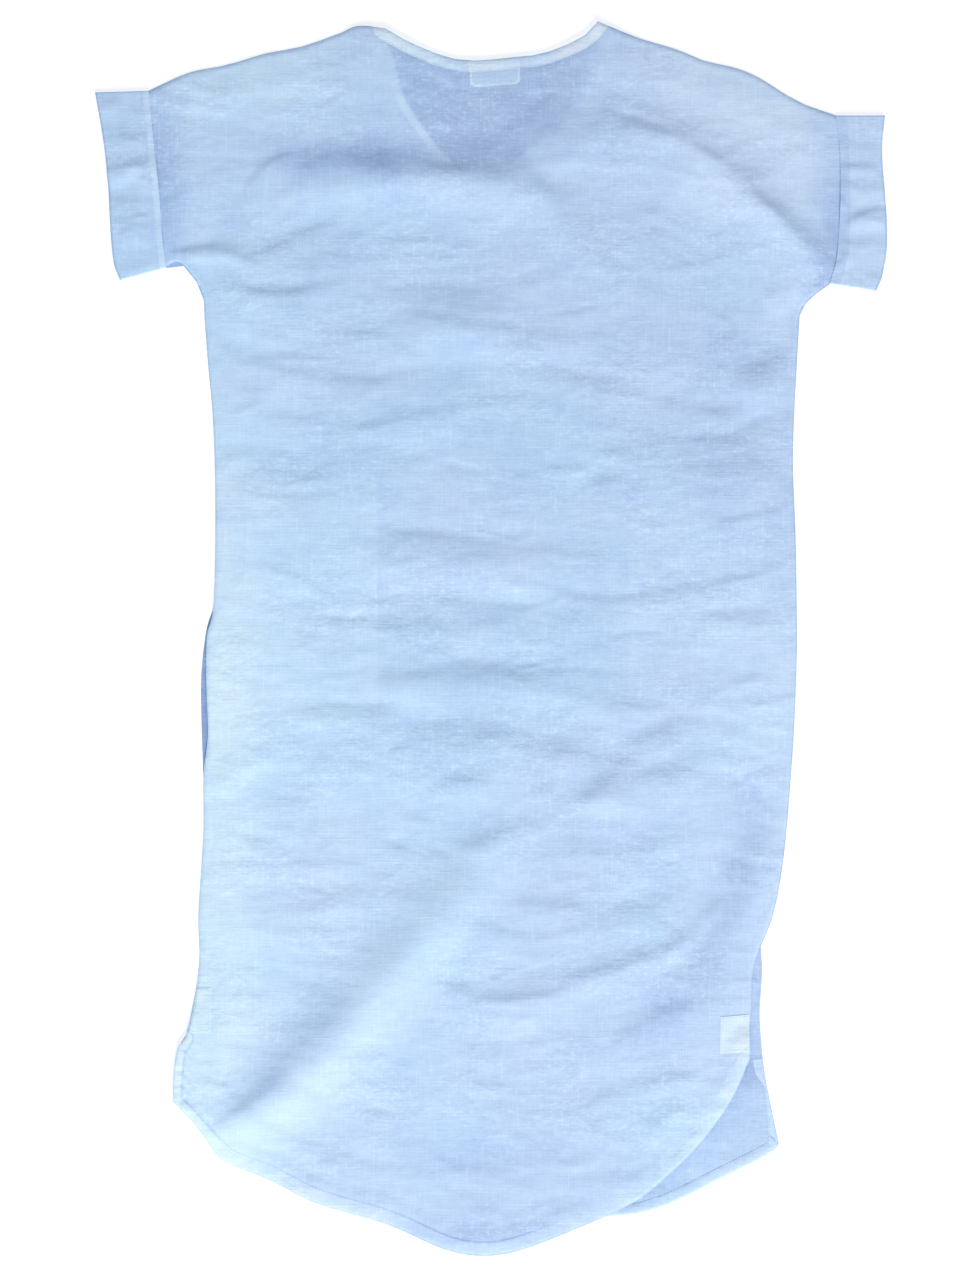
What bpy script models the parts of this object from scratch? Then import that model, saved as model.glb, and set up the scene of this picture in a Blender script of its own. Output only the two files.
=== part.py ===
"""Short-sleeved linen kaftan dress, laid out flat with its back upwards.

The garment lies on the XY plane with its neck towards +Y, its hem towards -Y and +Z up.
The origin is under the middle of its box. The front panel lies at the bottom, and the
back panel lies over it with the folds of loosely laid cloth. All tables and widths are
in millimetres, and MM turns them into metres.
"""

from collections import namedtuple

import bmesh
import bpy
import numpy as np
from mathutils import Vector
from mathutils.bvhtree import BVHTree

MM = 0.001

# Driving sizes
WALL = 1.2  # panel cloth, with the loft of its creases
CUFF_WALL = 1.3
TRIM_WALL = 1.0  # facings, turned hems, patches and label
BAG_WALL = 1.2
GAP = 0.3  # between pieces that are sewn or lie together
NECK_FACING_WIDTH = 11.0
HEM_WIDTH = 12.0
VENT_EDGE_WIDTH = 9.0  # the back's turned edge beside a vent
FRONT_HEM_WIDTH = 10.0
V_FACING_WIDTH = 7.0
EDGE_INSET = 0.4  # a strip on the front stays this far inside its edge
CUFF_HOLLOW = 0.6  # clear height inside a flattened cuff

# Columns and rows of the back panel's grid, from seam to seam and from neck to hem
SHOULDER_COLUMNS = 12
NECK_COLUMNS = 12
SLEEVE_ROWS = 11
UNDERARM_ROWS = 4
SIDE_ROWS = 56

# A cuff's rings, the points along each, and those round each of its two folds
CUFF_RINGS = 5
CUFF_POINTS = 14
CUFF_TURN_POINTS = 5

PATCH_ROWS = 6
PATCH_COLUMNS = 5

# Straight steps along the edges of the flat pieces
FRONT_SHOULDER_STEPS = 16
V_STEPS = 6
FRONT_SEAM_STEPS = 8
UNDERARM_STEPS = 6
RIGHT_SIDE_STEPS = 24
RIGHT_VENT_STEPS = 14
FRONT_HEM_STEPS = 36
LEFT_VENT_STEPS = 6
BELOW_MOUTH_STEPS = 12
MOUTH_STEPS = 10
ABOVE_MOUTH_STEPS = 14
HEM_STRIP_RIGHT_STEPS = 6
HEM_STRIP_LEFT_STEPS = 4
V_FACING_STEPS = 5

# How the back lies
LOFT = 2.6  # height of the loose cloth above its seams, away from the folds
LOFT_RAMP = 34.0  # from an edge to where the cloth lies loose
HEM_SHARE = 0.5  # of that height and of the folds', left at the free hem
FOLD_OVERRUN = 0.2  # of its length, that a fold runs past each end
FOLD_TAPER = 0.5  # of its length, over which it rises
COVER_REACH = 20.0  # past a piece underneath, so that no cell of the back cuts into it
OWN_REACH = 1.0  # past a strip that shares the back's own grid points
COVER_FADE = 16.0  # over which the back comes down again

Point = namedtuple("Point", "x y")
Side = namedtuple("Side", "y left right")
Fold = namedtuple("Fold", "x1 y1 x2 y2 x3 y3 height steep soft")

# Shoulder lines from the cuff seam to the neck point
LEFT_SHOULDER = [
    Point(-319, 510),
    Point(-281, 527),
    Point(-246, 534),
    Point(-211, 544.5),
    Point(-177, 551),
    Point(-141, 563.5),
    Point(-124, 570.3),
    Point(-98.6, 567.8),
]
RIGHT_SHOULDER = [
    Point(321.5, 487),
    Point(286, 500),
    Point(250, 522),
    Point(227, 531.5),
    Point(200, 537.5),
    Point(173, 548.5),
    Point(135, 560),
    Point(99.5, 574.3),
]
# Back neck from the left neck point to the right one
BACK_NECK = [
    Point(-98.6, 567.8),
    Point(-74, 554),
    Point(-40, 541),
    Point(-15, 538),
    Point(28, 541.7),
    Point(50, 545),
    Point(84, 559),
    Point(99.5, 574.3),
]
# Front neck from the left neck point down to the V's tip, and up to the right one
V_LEFT = [Point(-98.6, 567.8), Point(-91.5, 540), Point(-80, 501), Point(-50.5, 457.5)]
V_TIP = Point(-12, 413.5)
V_RIGHT = [Point(35, 453.5), Point(77, 488), Point(98, 550), Point(99.5, 574.3)]
# Cuff seams from the shoulder down to the underarm
LEFT_CUFF_SEAM = [
    Point(-319, 510),
    Point(-313.5, 454),
    Point(-309.5, 419),
    Point(-306.5, 375),
    Point(-303, 345),
]
RIGHT_CUFF_SEAM = [
    Point(321.5, 487),
    Point(325, 454),
    Point(325.5, 410),
    Point(322.5, 357),
    Point(315.5, 330),
]
# Outer edges of the cuffs, the same way
LEFT_CUFF_EDGE = [
    Point(-368.3, 508.5),
    Point(-360, 459),
    Point(-356, 419),
    Point(-354, 382),
    Point(-351, 350),
    Point(-345, 333.5),
]
RIGHT_CUFF_EDGE = [
    Point(366.5, 487),
    Point(363.8, 451.5),
    Point(367.5, 400),
    Point(368.3, 366),
    Point(364, 338),
    Point(358, 323.5),
]
# Underarm curves from the cuff seam to the side
LEFT_UNDERARM = [
    Point(-303, 345),
    Point(-291, 350),
    Point(-277, 336),
    Point(-268, 318),
    Point(-266.5, 295),
]
RIGHT_UNDERARM = [
    Point(315.5, 330),
    Point(301, 319.5),
    Point(290, 308),
    Point(286.7, 295),
    Point(286.6, 287),
]
# Sides of the back from the underarm to the vents
BACK_SIDES = [
    Side(250, -263.0, 284.5),
    Side(212, -259.5, 282.5),
    Side(160, -257.2, 281.2),
    Side(92, -256.7, 283.7),
    Side(28, -258.5, 284.6),
    Side(2, -264.4, 284.8),
    Side(-40, -265.1, 284.0),
    Side(-90, -263.6, 281.8),
    Side(-127, -267.6, 279.2),
    Side(-178, -267.8, 275.3),
    Side(-225, -270.6, 269.5),
    Side(-262, -272.6, 261.3),
    Side(-303, -271.8, 245.8),
    Side(-345, -278.4, 242.8),
]
RIGHT_VENT_TOP = Point(241.3, -390)
LEFT_VENT_EDGE = [
    Point(-284.6, -370.5),
    Point(-292, -382),
    Point(-295.7, -410),
    Point(-295.7, -431),
]
BACK_HEM = [
    Point(-295.7, -431),
    Point(-271, -457),
    Point(-259, -475),
    Point(-246, -487.5),
    Point(-207, -503),
    Point(-163, -525),
    Point(-96, -545),
    Point(-45, -567.5),
    Point(-9, -574.3),
    Point(28, -568.7),
    Point(85, -546.5),
    Point(135, -523),
    Point(167, -497),
    Point(196, -468),
    Point(223, -430),
    Point(241.3, -390),
]
# The front's own edges, where they leave the back's. The pocket's mouth is at the left.
POCKET_MOUTH = [
    Point(-258.5, 28),
    Point(-265, 8),
    Point(-269.7, -32),
    Point(-269.7, -75),
    Point(-267.9, -127),
]
FRONT_RIGHT = [
    Point(261.3, -262),
    Point(251.8, -283),
    Point(252.6, -309),
    Point(250.4, -345),
    Point(251, -366),
    Point(254.2, -400),
    Point(260, -432),
    Point(268.2, -471),
]
FRONT_HEM = [
    Point(268.2, -471),
    Point(260, -479.5),
    Point(221, -499.5),
    Point(161, -528.5),
    Point(115, -538),
    Point(20, -541),
    Point(-80, -534),
    Point(-163, -514),
    Point(-225, -485),
    Point(-262, -455),
    Point(-290.5, -427),
]
FRONT_LEFT_VENT = [Point(-290.5, -427), Point(-290, -400), Point(-282, -372), Point(-276, -345)]

# Pocket bags from the upper end of the mouth in the side seam, round to its lower end
LEFT_BAG = [
    Point(-261, 14),
    Point(-228, 60),
    Point(-228, 147),
    Point(-105, 147),
    Point(-105, -66),
    Point(-115, -76),
    Point(-228, -98),
    Point(-262, -118),
]
RIGHT_BAG = [
    Point(281, 14),
    Point(254, 60),
    Point(254, 128),
    Point(127, 128),
    Point(127, -66),
    Point(137, -76),
    Point(250, -98),
    Point(276, -118),
]
LABEL = [
    Point(-21.4, 538),
    Point(27, 539.5),
    Point(27, 518),
    Point(25, 515.6),
    Point(-15.5, 512.6),
    Point(-19, 515),
]
# Corners from the top left, clockwise
LEFT_PATCH = [Point(-273.8, -326), Point(-260.5, -325), Point(-261, -366), Point(-281, -367)]
RIGHT_PATCH = [Point(213.5, -352), Point(240.2, -350), Point(240.2, -384), Point(213, -386)]

# Folds of the back. Each follows an arc through its three points, and its crest lies to
# the right of the way from the first to the third. steep and soft are the widths of the
# side before the crest and of the side past it.
FOLDS = [
    Fold(-240, 398, -110, 447, 34, 428, 7.5, 17, 46),
    Fold(24, 440, 62, 404, 112, 338, 3.5, 18, 34),
    Fold(70, 480, 196, 466, 300, 352, 7.0, 17, 46),
    Fold(-296, 352, -214, 366, -140, 404, 4.5, 13, 26),
    Fold(-247, 327, -200, 321, -148, 330, 3.0, 10, 20),
    Fold(-78, 322, -30, 325, 14, 322, 2.0, 11, 20),
    Fold(-252, 264, -175, 253, -92, 242, 3.2, 12, 22),
    Fold(-96, 246, 22, 257, 122, 240, 3.6, 13, 30),
    Fold(-138, 198, -85, 210, -30, 215, 2.2, 11, 20),
    Fold(168, 200, 226, 186, 280, 204, 4.5, 13, 26),
    Fold(222, 243, 252, 248, 282, 254, 4.0, 13, 22),
    Fold(-252, 138, -200, 136, -148, 139, 2.2, 11, 20),
    Fold(-102, 104, -10, 94, 112, 79, 4.0, 13, 32),
    Fold(-250, 37, -103, 36, 36, 45, 3.2, 12, 26),
    Fold(20, 46, 139, 33, 262, 55, 4.4, 13, 30),
    Fold(-106, -32, -1, -26, 103, -33, 4.6, 13, 32),
    Fold(190, 22, 232, 23, 270, 27, 2.5, 11, 20),
    Fold(-182, -69, -136, -66, -92, -66, 2.5, 11, 20),
    Fold(-150, -94, -60, -78, 66, -92, 4.0, 13, 30),
    Fold(84, -146, 139, -128, 200, -108, 4.6, 13, 28),
    Fold(118, -98, 176, -76, 228, -80, 3.4, 12, 24),
    Fold(-250, -207, -178, -205, -100, -208, 2.8, 13, 28),
    Fold(-250, -262, -200, -258, -140, -262, 2.6, 14, 28),
    Fold(-22, -328, 90, -320, 204, -280, 5.2, 15, 36),
    Fold(-6, -250, 80, -246, 190, -222, 3.0, 15, 28),
    Fold(-258, -446, -126, -330, -2, -178, 15.0, 30, 62),
    Fold(192, -326, 236, -243, 268, -150, 5.0, 22, 34),
    Fold(44, -430, 120, -417, 196, -404, 2.6, 13, 24),
    Fold(-90, -500, 0, -512, 96, -498, 2.2, 14, 28),
]

CLOTH_BLUE = (0.55, 0.68, 0.84)
TRIM_BLUE = (0.66, 0.78, 0.90)
LABEL_WHITE = (0.80, 0.85, 0.92)
CLOTH_ROUGHNESS = 0.85


def clear_scene():
    for obj in list(bpy.data.objects):
        bpy.data.objects.remove(obj, do_unlink=True)


def material(name, colour):
    mat = bpy.data.materials.new(name)
    mat.use_nodes = True
    shader = mat.node_tree.nodes["Principled BSDF"]
    shader.inputs["Base Color"].default_value = (*colour, 1.0)
    shader.inputs["Roughness"].default_value = CLOTH_ROUGHNESS
    shader.inputs["Metallic"].default_value = 0.0
    return mat


# Lines in the plane


def smoothstep(x):
    x = np.clip(x, 0.0, 1.0)
    return x * x * (3.0 - 2.0 * x)


def through(points, steps=12):
    """A smooth line through the points (Catmull-Rom), with this many steps between two."""
    p = np.array([tuple(q) for q in points], float)
    padded = np.vstack([2 * p[0] - p[1], p, 2 * p[-1] - p[-2]])
    line = []
    for a, b, c, d in zip(padded, padded[1:], padded[2:], padded[3:], strict=False):
        for t in np.arange(steps) / steps:
            square = (2 * a - 5 * b + 4 * c - d) * t**2
            cube = (3 * b - 3 * c + d - a) * t**3
            line.append(0.5 * (2 * b + (c - a) * t + square + cube))
    line.append(p[-1])
    return np.array(line)


def straight(points):
    return np.array([tuple(q) for q in points], float)


def lengths(line):
    steps = np.linalg.norm(np.diff(line, axis=0), axis=1)
    return np.concatenate([[0.0], np.cumsum(steps)])


def spaced(line, pieces, first=0.0, last=0.0):
    """Points along the line in even steps, apart from a first or last step that is given."""
    run = lengths(line)
    even = pieces - (first > 0) - (last > 0)
    stops = np.linspace(first, run[-1] - last, even + 1)
    if first:
        stops = np.concatenate([[0.0], stops])
    if last:
        stops = np.concatenate([stops, [run[-1]]])
    return np.column_stack([np.interp(stops, run, line[:, k]) for k in range(2)])


def joined(*lines):
    """One line from several that meet end to end."""
    return np.vstack([*[line[:-1] for line in lines[:-1]], lines[-1]])


def without_repeats(outline, least=0.5):
    kept = [outline[0]]
    for point in outline[1:]:
        if np.linalg.norm(point - kept[-1]) > least:
            kept.append(point)
    return np.array(kept)


def left_normals(line):
    way = np.gradient(line, axis=0)
    way /= np.linalg.norm(way, axis=1)[:, None]
    return np.column_stack([-way[:, 1], way[:, 0]])


def mitred_normals(line):
    """Left normals, lengthened at a corner so that a strip keeps its width on both sides."""
    way = np.diff(line, axis=0)
    way /= np.linalg.norm(way, axis=1)[:, None]
    normal = np.column_stack([-way[:, 1], way[:, 0]])
    before = np.vstack([normal[:1], normal])
    after = np.vstack([normal, normal[-1:]])
    middle = before + after
    middle /= np.linalg.norm(middle, axis=1)[:, None]
    return middle / (middle * after).sum(axis=1)[:, None]


def strip(line, width):
    """Outline of a strip along the line, on its right side."""
    return np.vstack([line, (line - width * mitred_normals(line))[::-1]])


def distance(points, line):
    """How far each point is from the line."""
    a, way = line[:-1], np.diff(line, axis=0)
    size = np.maximum((way**2).sum(axis=1), 1e-9)
    share = np.clip(((points[:, None] - a) * way).sum(axis=2) / size, 0, 1)
    nearest = a + share[:, :, None] * way
    return np.linalg.norm(points[:, None] - nearest, axis=2).min(axis=1)


def inside(points, outline):
    x, y = points[:, 0][:, None], points[:, 1][:, None]
    x1, y1 = outline[:, 0], outline[:, 1]
    x2, y2 = np.roll(x1, -1), np.roll(y1, -1)
    spans = (y1 > y) != (y2 > y)
    rise = np.where(y2 == y1, 1e-9, y2 - y1)
    crossing = x1 + (y - y1) / rise * (x2 - x1)
    return (spans & (x < crossing)).sum(axis=1) % 2 == 1


def covered(points, outline, reach):
    """1 over the outline and as far as reach past it, falling to 0 past that."""
    far = distance(points, np.vstack([outline, outline[:1]]))
    far[inside(points, outline)] = 0.0
    return 1.0 - smoothstep((far - reach) / COVER_FADE)


# The back


def back_left():
    body = [Point(s.left, s.y) for s in BACK_SIDES]
    return through([LEFT_UNDERARM[-1], *body, *LEFT_VENT_EDGE])


def back_right():
    body = [Point(s.right, s.y) for s in BACK_SIDES]
    return through([RIGHT_UNDERARM[-1], *body, RIGHT_VENT_TOP])


def back_edges():
    """Grid points along the top, bottom, left and right edges, rightwards or downwards."""
    shoulders = [
        spaced(through(line), SHOULDER_COLUMNS, first=VENT_EDGE_WIDTH)
        for line in (LEFT_SHOULDER, RIGHT_SHOULDER)
    ]
    top = joined(shoulders[0], spaced(through(BACK_NECK), NECK_COLUMNS), shoulders[1][::-1])
    bottom = spaced(through(BACK_HEM), len(top) - 1, first=HEM_WIDTH, last=VENT_EDGE_WIDTH)
    sides = [
        joined(
            spaced(through(seam), SLEEVE_ROWS, first=NECK_FACING_WIDTH),
            spaced(through(underarm), UNDERARM_ROWS),
            spaced(body, SIDE_ROWS, last=HEM_WIDTH),
        )
        for seam, underarm, body in (
            (LEFT_CUFF_SEAM, LEFT_UNDERARM, back_left()),
            (RIGHT_CUFF_SEAM, RIGHT_UNDERARM, back_right()),
        )
    ]
    return top, bottom, *sides


def falling(line):
    """The line with y values that fall all the way, so that a grid's rows keep their order
    where a side turns back on itself under the arm."""
    y = np.minimum.accumulate(line[:, 1])
    y[1:-1] = (y[:-2] + y[1:-1] + y[2:]) / 3
    return np.column_stack([line[:, 0], y])


def back_grid():
    """Places of the back's grid seen from above, row by row from neck to hem. The first
    ring inside the edge keeps the width of the facing and of the turned hem, and the
    rest is blended between the four sides of that ring."""
    top, bottom, left, right = back_edges()
    grid = np.zeros((len(left), len(top), 2))
    grid[0], grid[-1] = top, bottom
    grid[:, 0], grid[:, -1] = left, right
    upper = (top - NECK_FACING_WIDTH * left_normals(top))[1:-1]
    lower = (bottom + HEM_WIDTH * left_normals(bottom))[1:-1]
    nearer = (left + VENT_EDGE_WIDTH * left_normals(left))[1:-1]
    farther = (right - VENT_EDGE_WIDTH * left_normals(right))[1:-1]
    for a, i, b, j in (
        (upper, 0, nearer, 0),
        (upper, -1, farther, 0),
        (lower, 0, nearer, -1),
        (lower, -1, farther, -1),
    ):
        a[i] = b[j] = (a[i] + b[j]) / 2
    nearer, farther = falling(nearer), falling(farther)
    u = np.linspace(0, 1, len(upper))[None, :, None]
    v = np.linspace(0, 1, len(nearer))[:, None, None]
    down = (1 - v) * upper[None] + v * lower[None]
    across = (1 - u) * nearer[:, None] + u * farther[:, None]
    upper_corners = (1 - u) * upper[0] + u * upper[-1]
    lower_corners = (1 - u) * lower[0] + u * lower[-1]
    grid[1:-1, 1:-1] = down + across - (1 - v) * upper_corners - v * lower_corners
    return grid


def fold_height(points):
    """How far the folds raise the cloth at these places."""
    raised = np.zeros(len(points))
    for fold in FOLDS:
        start = np.array([fold.x1, fold.y1])
        chord = np.array([fold.x3, fold.y3]) - start
        length = np.linalg.norm(chord)
        way = chord / length
        to_right = np.array([way[1], -way[0]])
        middle = np.array([fold.x2, fold.y2]) - start
        middle_at = middle @ way / length
        bulge = middle @ to_right / (middle_at * (1 - middle_at))
        run = (points - start) @ way / length
        on_arc = np.clip(run, 0, 1)
        past_crest = (points - start) @ to_right - bulge * on_arc * (1 - on_arc) - fold.steep
        width = np.where(past_crest < 0, fold.steep, fold.soft)
        across = np.exp(-((past_crest / width) ** 2))
        begun = smoothstep((run + FOLD_OVERRUN) / FOLD_TAPER)
        unfinished = smoothstep((1 + FOLD_OVERRUN - run) / FOLD_TAPER)
        raised += fold.height * across * begun * unfinished
    return raised


def back_heights(grid, outlines):
    """Height of the back's under face at each place of the grid: clear of the front and
    of the pieces between them, and loose away from the seams."""
    points = grid.reshape(-1, 2)
    seams = joined(grid[:, 0][::-1], grid[0], grid[:, -1])
    loose = smoothstep(distance(points, seams) / LOFT_RAMP)
    from_hem = smoothstep(distance(points, grid[-1]) / LOFT_RAMP)
    loose = loose * (HEM_SHARE + (1 - HEM_SHARE) * from_hem)
    trim, bag = TRIM_WALL + GAP, BAG_WALL + GAP
    between = [
        thickness * covered(points, outlines[name], COVER_REACH)
        for name, thickness in (
            ("hem_front", trim),
            ("v_facing", trim),
            ("pocket_bag_left", bag),
            ("pocket_bag_right", bag),
        )
    ]
    own = [trim * covered(points, outlines[n], OWN_REACH) for n in ("neck_facing", "hem_back")]
    base = WALL + GAP + np.max(between, axis=0) + np.max(own, axis=0)
    return (base + loose * (LOFT + fold_height(points))).reshape(grid.shape[:2])


# Outlines of the flat pieces


def front_outline():
    """Clockwise from the top of the left cuff seam."""
    left = back_left()[::-1]
    above_mouth = left[left[:, 1] > POCKET_MOUTH[0].y]
    below_mouth = left[(left[:, 1] < POCKET_MOUTH[-1].y) & (left[:, 1] > FRONT_LEFT_VENT[-1].y)]
    right = back_right()
    right = right[right[:, 1] > FRONT_RIGHT[0].y]
    lines = [
        spaced(through(LEFT_SHOULDER), FRONT_SHOULDER_STEPS),
        spaced(through(V_LEFT), V_STEPS),
        straight([V_TIP]),
        spaced(through(V_RIGHT), V_STEPS),
        spaced(through(RIGHT_SHOULDER)[::-1], FRONT_SHOULDER_STEPS),
        spaced(through(RIGHT_CUFF_SEAM), FRONT_SEAM_STEPS),
        spaced(through(RIGHT_UNDERARM), UNDERARM_STEPS),
        spaced(right, RIGHT_SIDE_STEPS),
        spaced(through(FRONT_RIGHT), RIGHT_VENT_STEPS),
        spaced(through(FRONT_HEM), FRONT_HEM_STEPS),
        spaced(through(FRONT_LEFT_VENT), LEFT_VENT_STEPS),
        spaced(below_mouth, BELOW_MOUTH_STEPS),
        spaced(through(POCKET_MOUTH)[::-1], MOUTH_STEPS),
        spaced(above_mouth, ABOVE_MOUTH_STEPS),
        spaced(through(LEFT_UNDERARM)[::-1], UNDERARM_STEPS),
        spaced(through(LEFT_CUFF_SEAM)[::-1], FRONT_SEAM_STEPS)[:-1],
    ]
    return without_repeats(np.vstack(lines))


def front_hem_outline():
    """The front's turned edge: down the right vent, along the hem, up the left vent."""
    vent = through(FRONT_RIGHT)
    vent = vent[vent[:, 1] < RIGHT_VENT_TOP.y]
    edge = joined(
        spaced(vent, HEM_STRIP_RIGHT_STEPS),
        spaced(through(FRONT_HEM), FRONT_HEM_STEPS),
        spaced(through(FRONT_LEFT_VENT[:3]), HEM_STRIP_LEFT_STEPS),
    )
    edge = edge - EDGE_INSET * mitred_normals(edge)
    return strip(edge, FRONT_HEM_WIDTH)


def v_facing_outline():
    """A strip on the front beside the V. It starts below the back's own neck facing."""
    highest = min(p.y for p in BACK_NECK) - GAP
    left = through(V_LEFT)
    right = through(V_RIGHT)
    line = np.vstack(
        [
            spaced(left[left[:, 1] < highest], V_FACING_STEPS),
            straight([V_TIP]),
            spaced(right[right[:, 1] < highest], V_FACING_STEPS),
        ]
    )
    return strip(line, V_FACING_WIDTH)


# Solids


def add(name, data, parts, colour):
    obj = bpy.data.objects.new(name, data)
    obj.data.materials.append(material(name + "_cloth", colour))
    parts.objects.link(obj)
    return obj


def grid_piece(name, grid, heights, cells, wall, side, parts, colour):
    """Cloth over the given cells of a grid. The heights are those of its under face for
    side 1, and of its upper face for side -1."""
    numbers = {}
    verts = []
    faces = []
    for r, c in cells:
        face = []
        for corner in ((r, c), (r + 1, c), (r + 1, c + 1), (r, c + 1)):
            if corner not in numbers:
                numbers[corner] = len(verts)
                verts.append(Vector((*grid[corner], heights[corner])) * MM)
            face.append(numbers[corner])
        faces.append(face)
    mesh = bpy.data.meshes.new(name)
    mesh.from_pydata(verts, [], faces)
    mesh.shade_smooth()
    obj = add(name, mesh, parts, colour)
    shell = obj.modifiers.new("Cloth", "SOLIDIFY")
    shell.thickness = wall * MM
    shell.offset = side
    return obj


def flat_piece(name, outline, low, wall, parts, colour):
    """A flat piece of cloth: its outline, filled and made as thick as the wall."""
    curve = bpy.data.curves.new(name, "CURVE")
    curve.dimensions = "2D"
    curve.fill_mode = "BOTH"
    curve.extrude = wall / 2 * MM
    spline = curve.splines.new("POLY")
    spline.points.add(len(outline) - 1)
    for point, (x, y) in zip(spline.points, outline, strict=True):
        point.co = (x * MM, y * MM, 0.0, 1.0)
    spline.use_cyclic_u = True
    obj = add(name, curve, parts, colour)
    obj.location.z = (low + wall / 2) * MM


def half_turn(centre, way, middle, radius):
    """Points on half a circle from above the centre, out along the way, to below it."""
    angles = np.linspace(np.pi / 2, -np.pi / 2, CUFF_TURN_POINTS)
    return [(*(centre + way * radius * np.cos(a)), middle + radius * np.sin(a)) for a in angles]


def flat_loop(line, middle, radius, ripple):
    """A closed flat loop round the line, at this distance above and below mid height,
    with the ripple added to its upper layer."""
    first_way = (line[0] - line[1]) / np.linalg.norm(line[0] - line[1])
    last_way = (line[-1] - line[-2]) / np.linalg.norm(line[-1] - line[-2])
    first_turn = half_turn(line[0] - first_way * middle, first_way, middle, radius)
    last_turn = half_turn(line[-1] - last_way * middle, last_way, middle, radius)
    between = line[1:-1]
    top = [(*p, middle + radius + h) for p, h in zip(between, ripple[1:-1], strict=True)]
    bottom = [(*p, middle - radius) for p in between[::-1]]
    return [*top, *last_turn, *bottom, *first_turn[::-1]]


def cuff_ripple(share):
    """Low waves across a cuff's upper layer, none at its folds. share is how far the ring
    lies from the seam towards the hand."""
    run = np.linspace(0, 1, CUFF_POINTS + 1)
    wave = 0.9 * np.sin(2 * np.pi * (2.6 * run + 0.35 * share)) + 0.5 * np.sin(10.6 * np.pi * run)
    return 0.5 * (1.4 + wave) * np.sin(np.pi * run)


def cuff(name, seam, edge, outwards, parts):
    """A flattened tube: rings from the sleeve seam to the hand edge, each with an upper
    and a lower layer that meet in a fold at the shoulder and under the arm."""
    middle = CUFF_WALL + CUFF_HOLLOW / 2
    seam_line = spaced(through(seam), CUFF_POINTS) + np.array([GAP * outwards, 0.0])
    edge_line = spaced(through(edge), CUFF_POINTS)
    build = bmesh.new()
    rings = []
    for share in np.linspace(0, 1, CUFF_RINGS + 1):
        line = (1 - share) * seam_line + share * edge_line
        loops = [
            flat_loop(line, middle, radius, cuff_ripple(share))
            for radius in (middle, CUFF_HOLLOW / 2)
        ]
        rings.append([[build.verts.new(Vector(p) * MM) for p in loop] for loop in loops])
    count = len(rings[0][0])
    for k in range(count):
        n = (k + 1) % count
        for (outer, inner), (next_outer, next_inner) in zip(rings, rings[1:], strict=False):
            build.faces.new((outer[k], outer[n], next_outer[n], next_outer[k]))
            build.faces.new((inner[k], next_inner[k], next_inner[n], inner[n]))
        for outer, inner in (rings[0], rings[-1]):
            build.faces.new((outer[k], inner[k], inner[n], outer[n]))
    bmesh.ops.recalc_face_normals(build, faces=build.faces)
    mesh = bpy.data.meshes.new(name)
    build.to_mesh(mesh)
    build.free()
    mesh.shade_smooth()
    add(name, mesh, parts, CLOTH_BLUE)


def patch(name, corners, panel, parts):
    """A small rectangle of cloth that follows the panel's upper face."""
    upper_face = BVHTree.FromObject(panel, bpy.context.evaluated_depsgraph_get())
    top_left, top_right, low_right, low_left = straight(corners)
    down = np.linspace(0, 1, PATCH_ROWS + 1)[:, None, None]
    right = np.linspace(0, 1, PATCH_COLUMNS + 1)[None, :, None]
    top = top_left + (top_right - top_left) * right
    low = low_left + (low_right - low_left) * right
    places = (1 - down) * top + down * low
    heights = np.zeros(places.shape[:2])
    for r, c in np.ndindex(heights.shape):
        above = Vector((*(places[r, c] * MM), 1.0))
        met = upper_face.ray_cast(above, Vector((0, 0, -1)))[0]
        heights[r, c] = met.z / MM + GAP
    cells = np.ndindex(PATCH_ROWS, PATCH_COLUMNS)
    grid_piece(name, places, heights, cells, TRIM_WALL, 1, parts, TRIM_BLUE)


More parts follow.
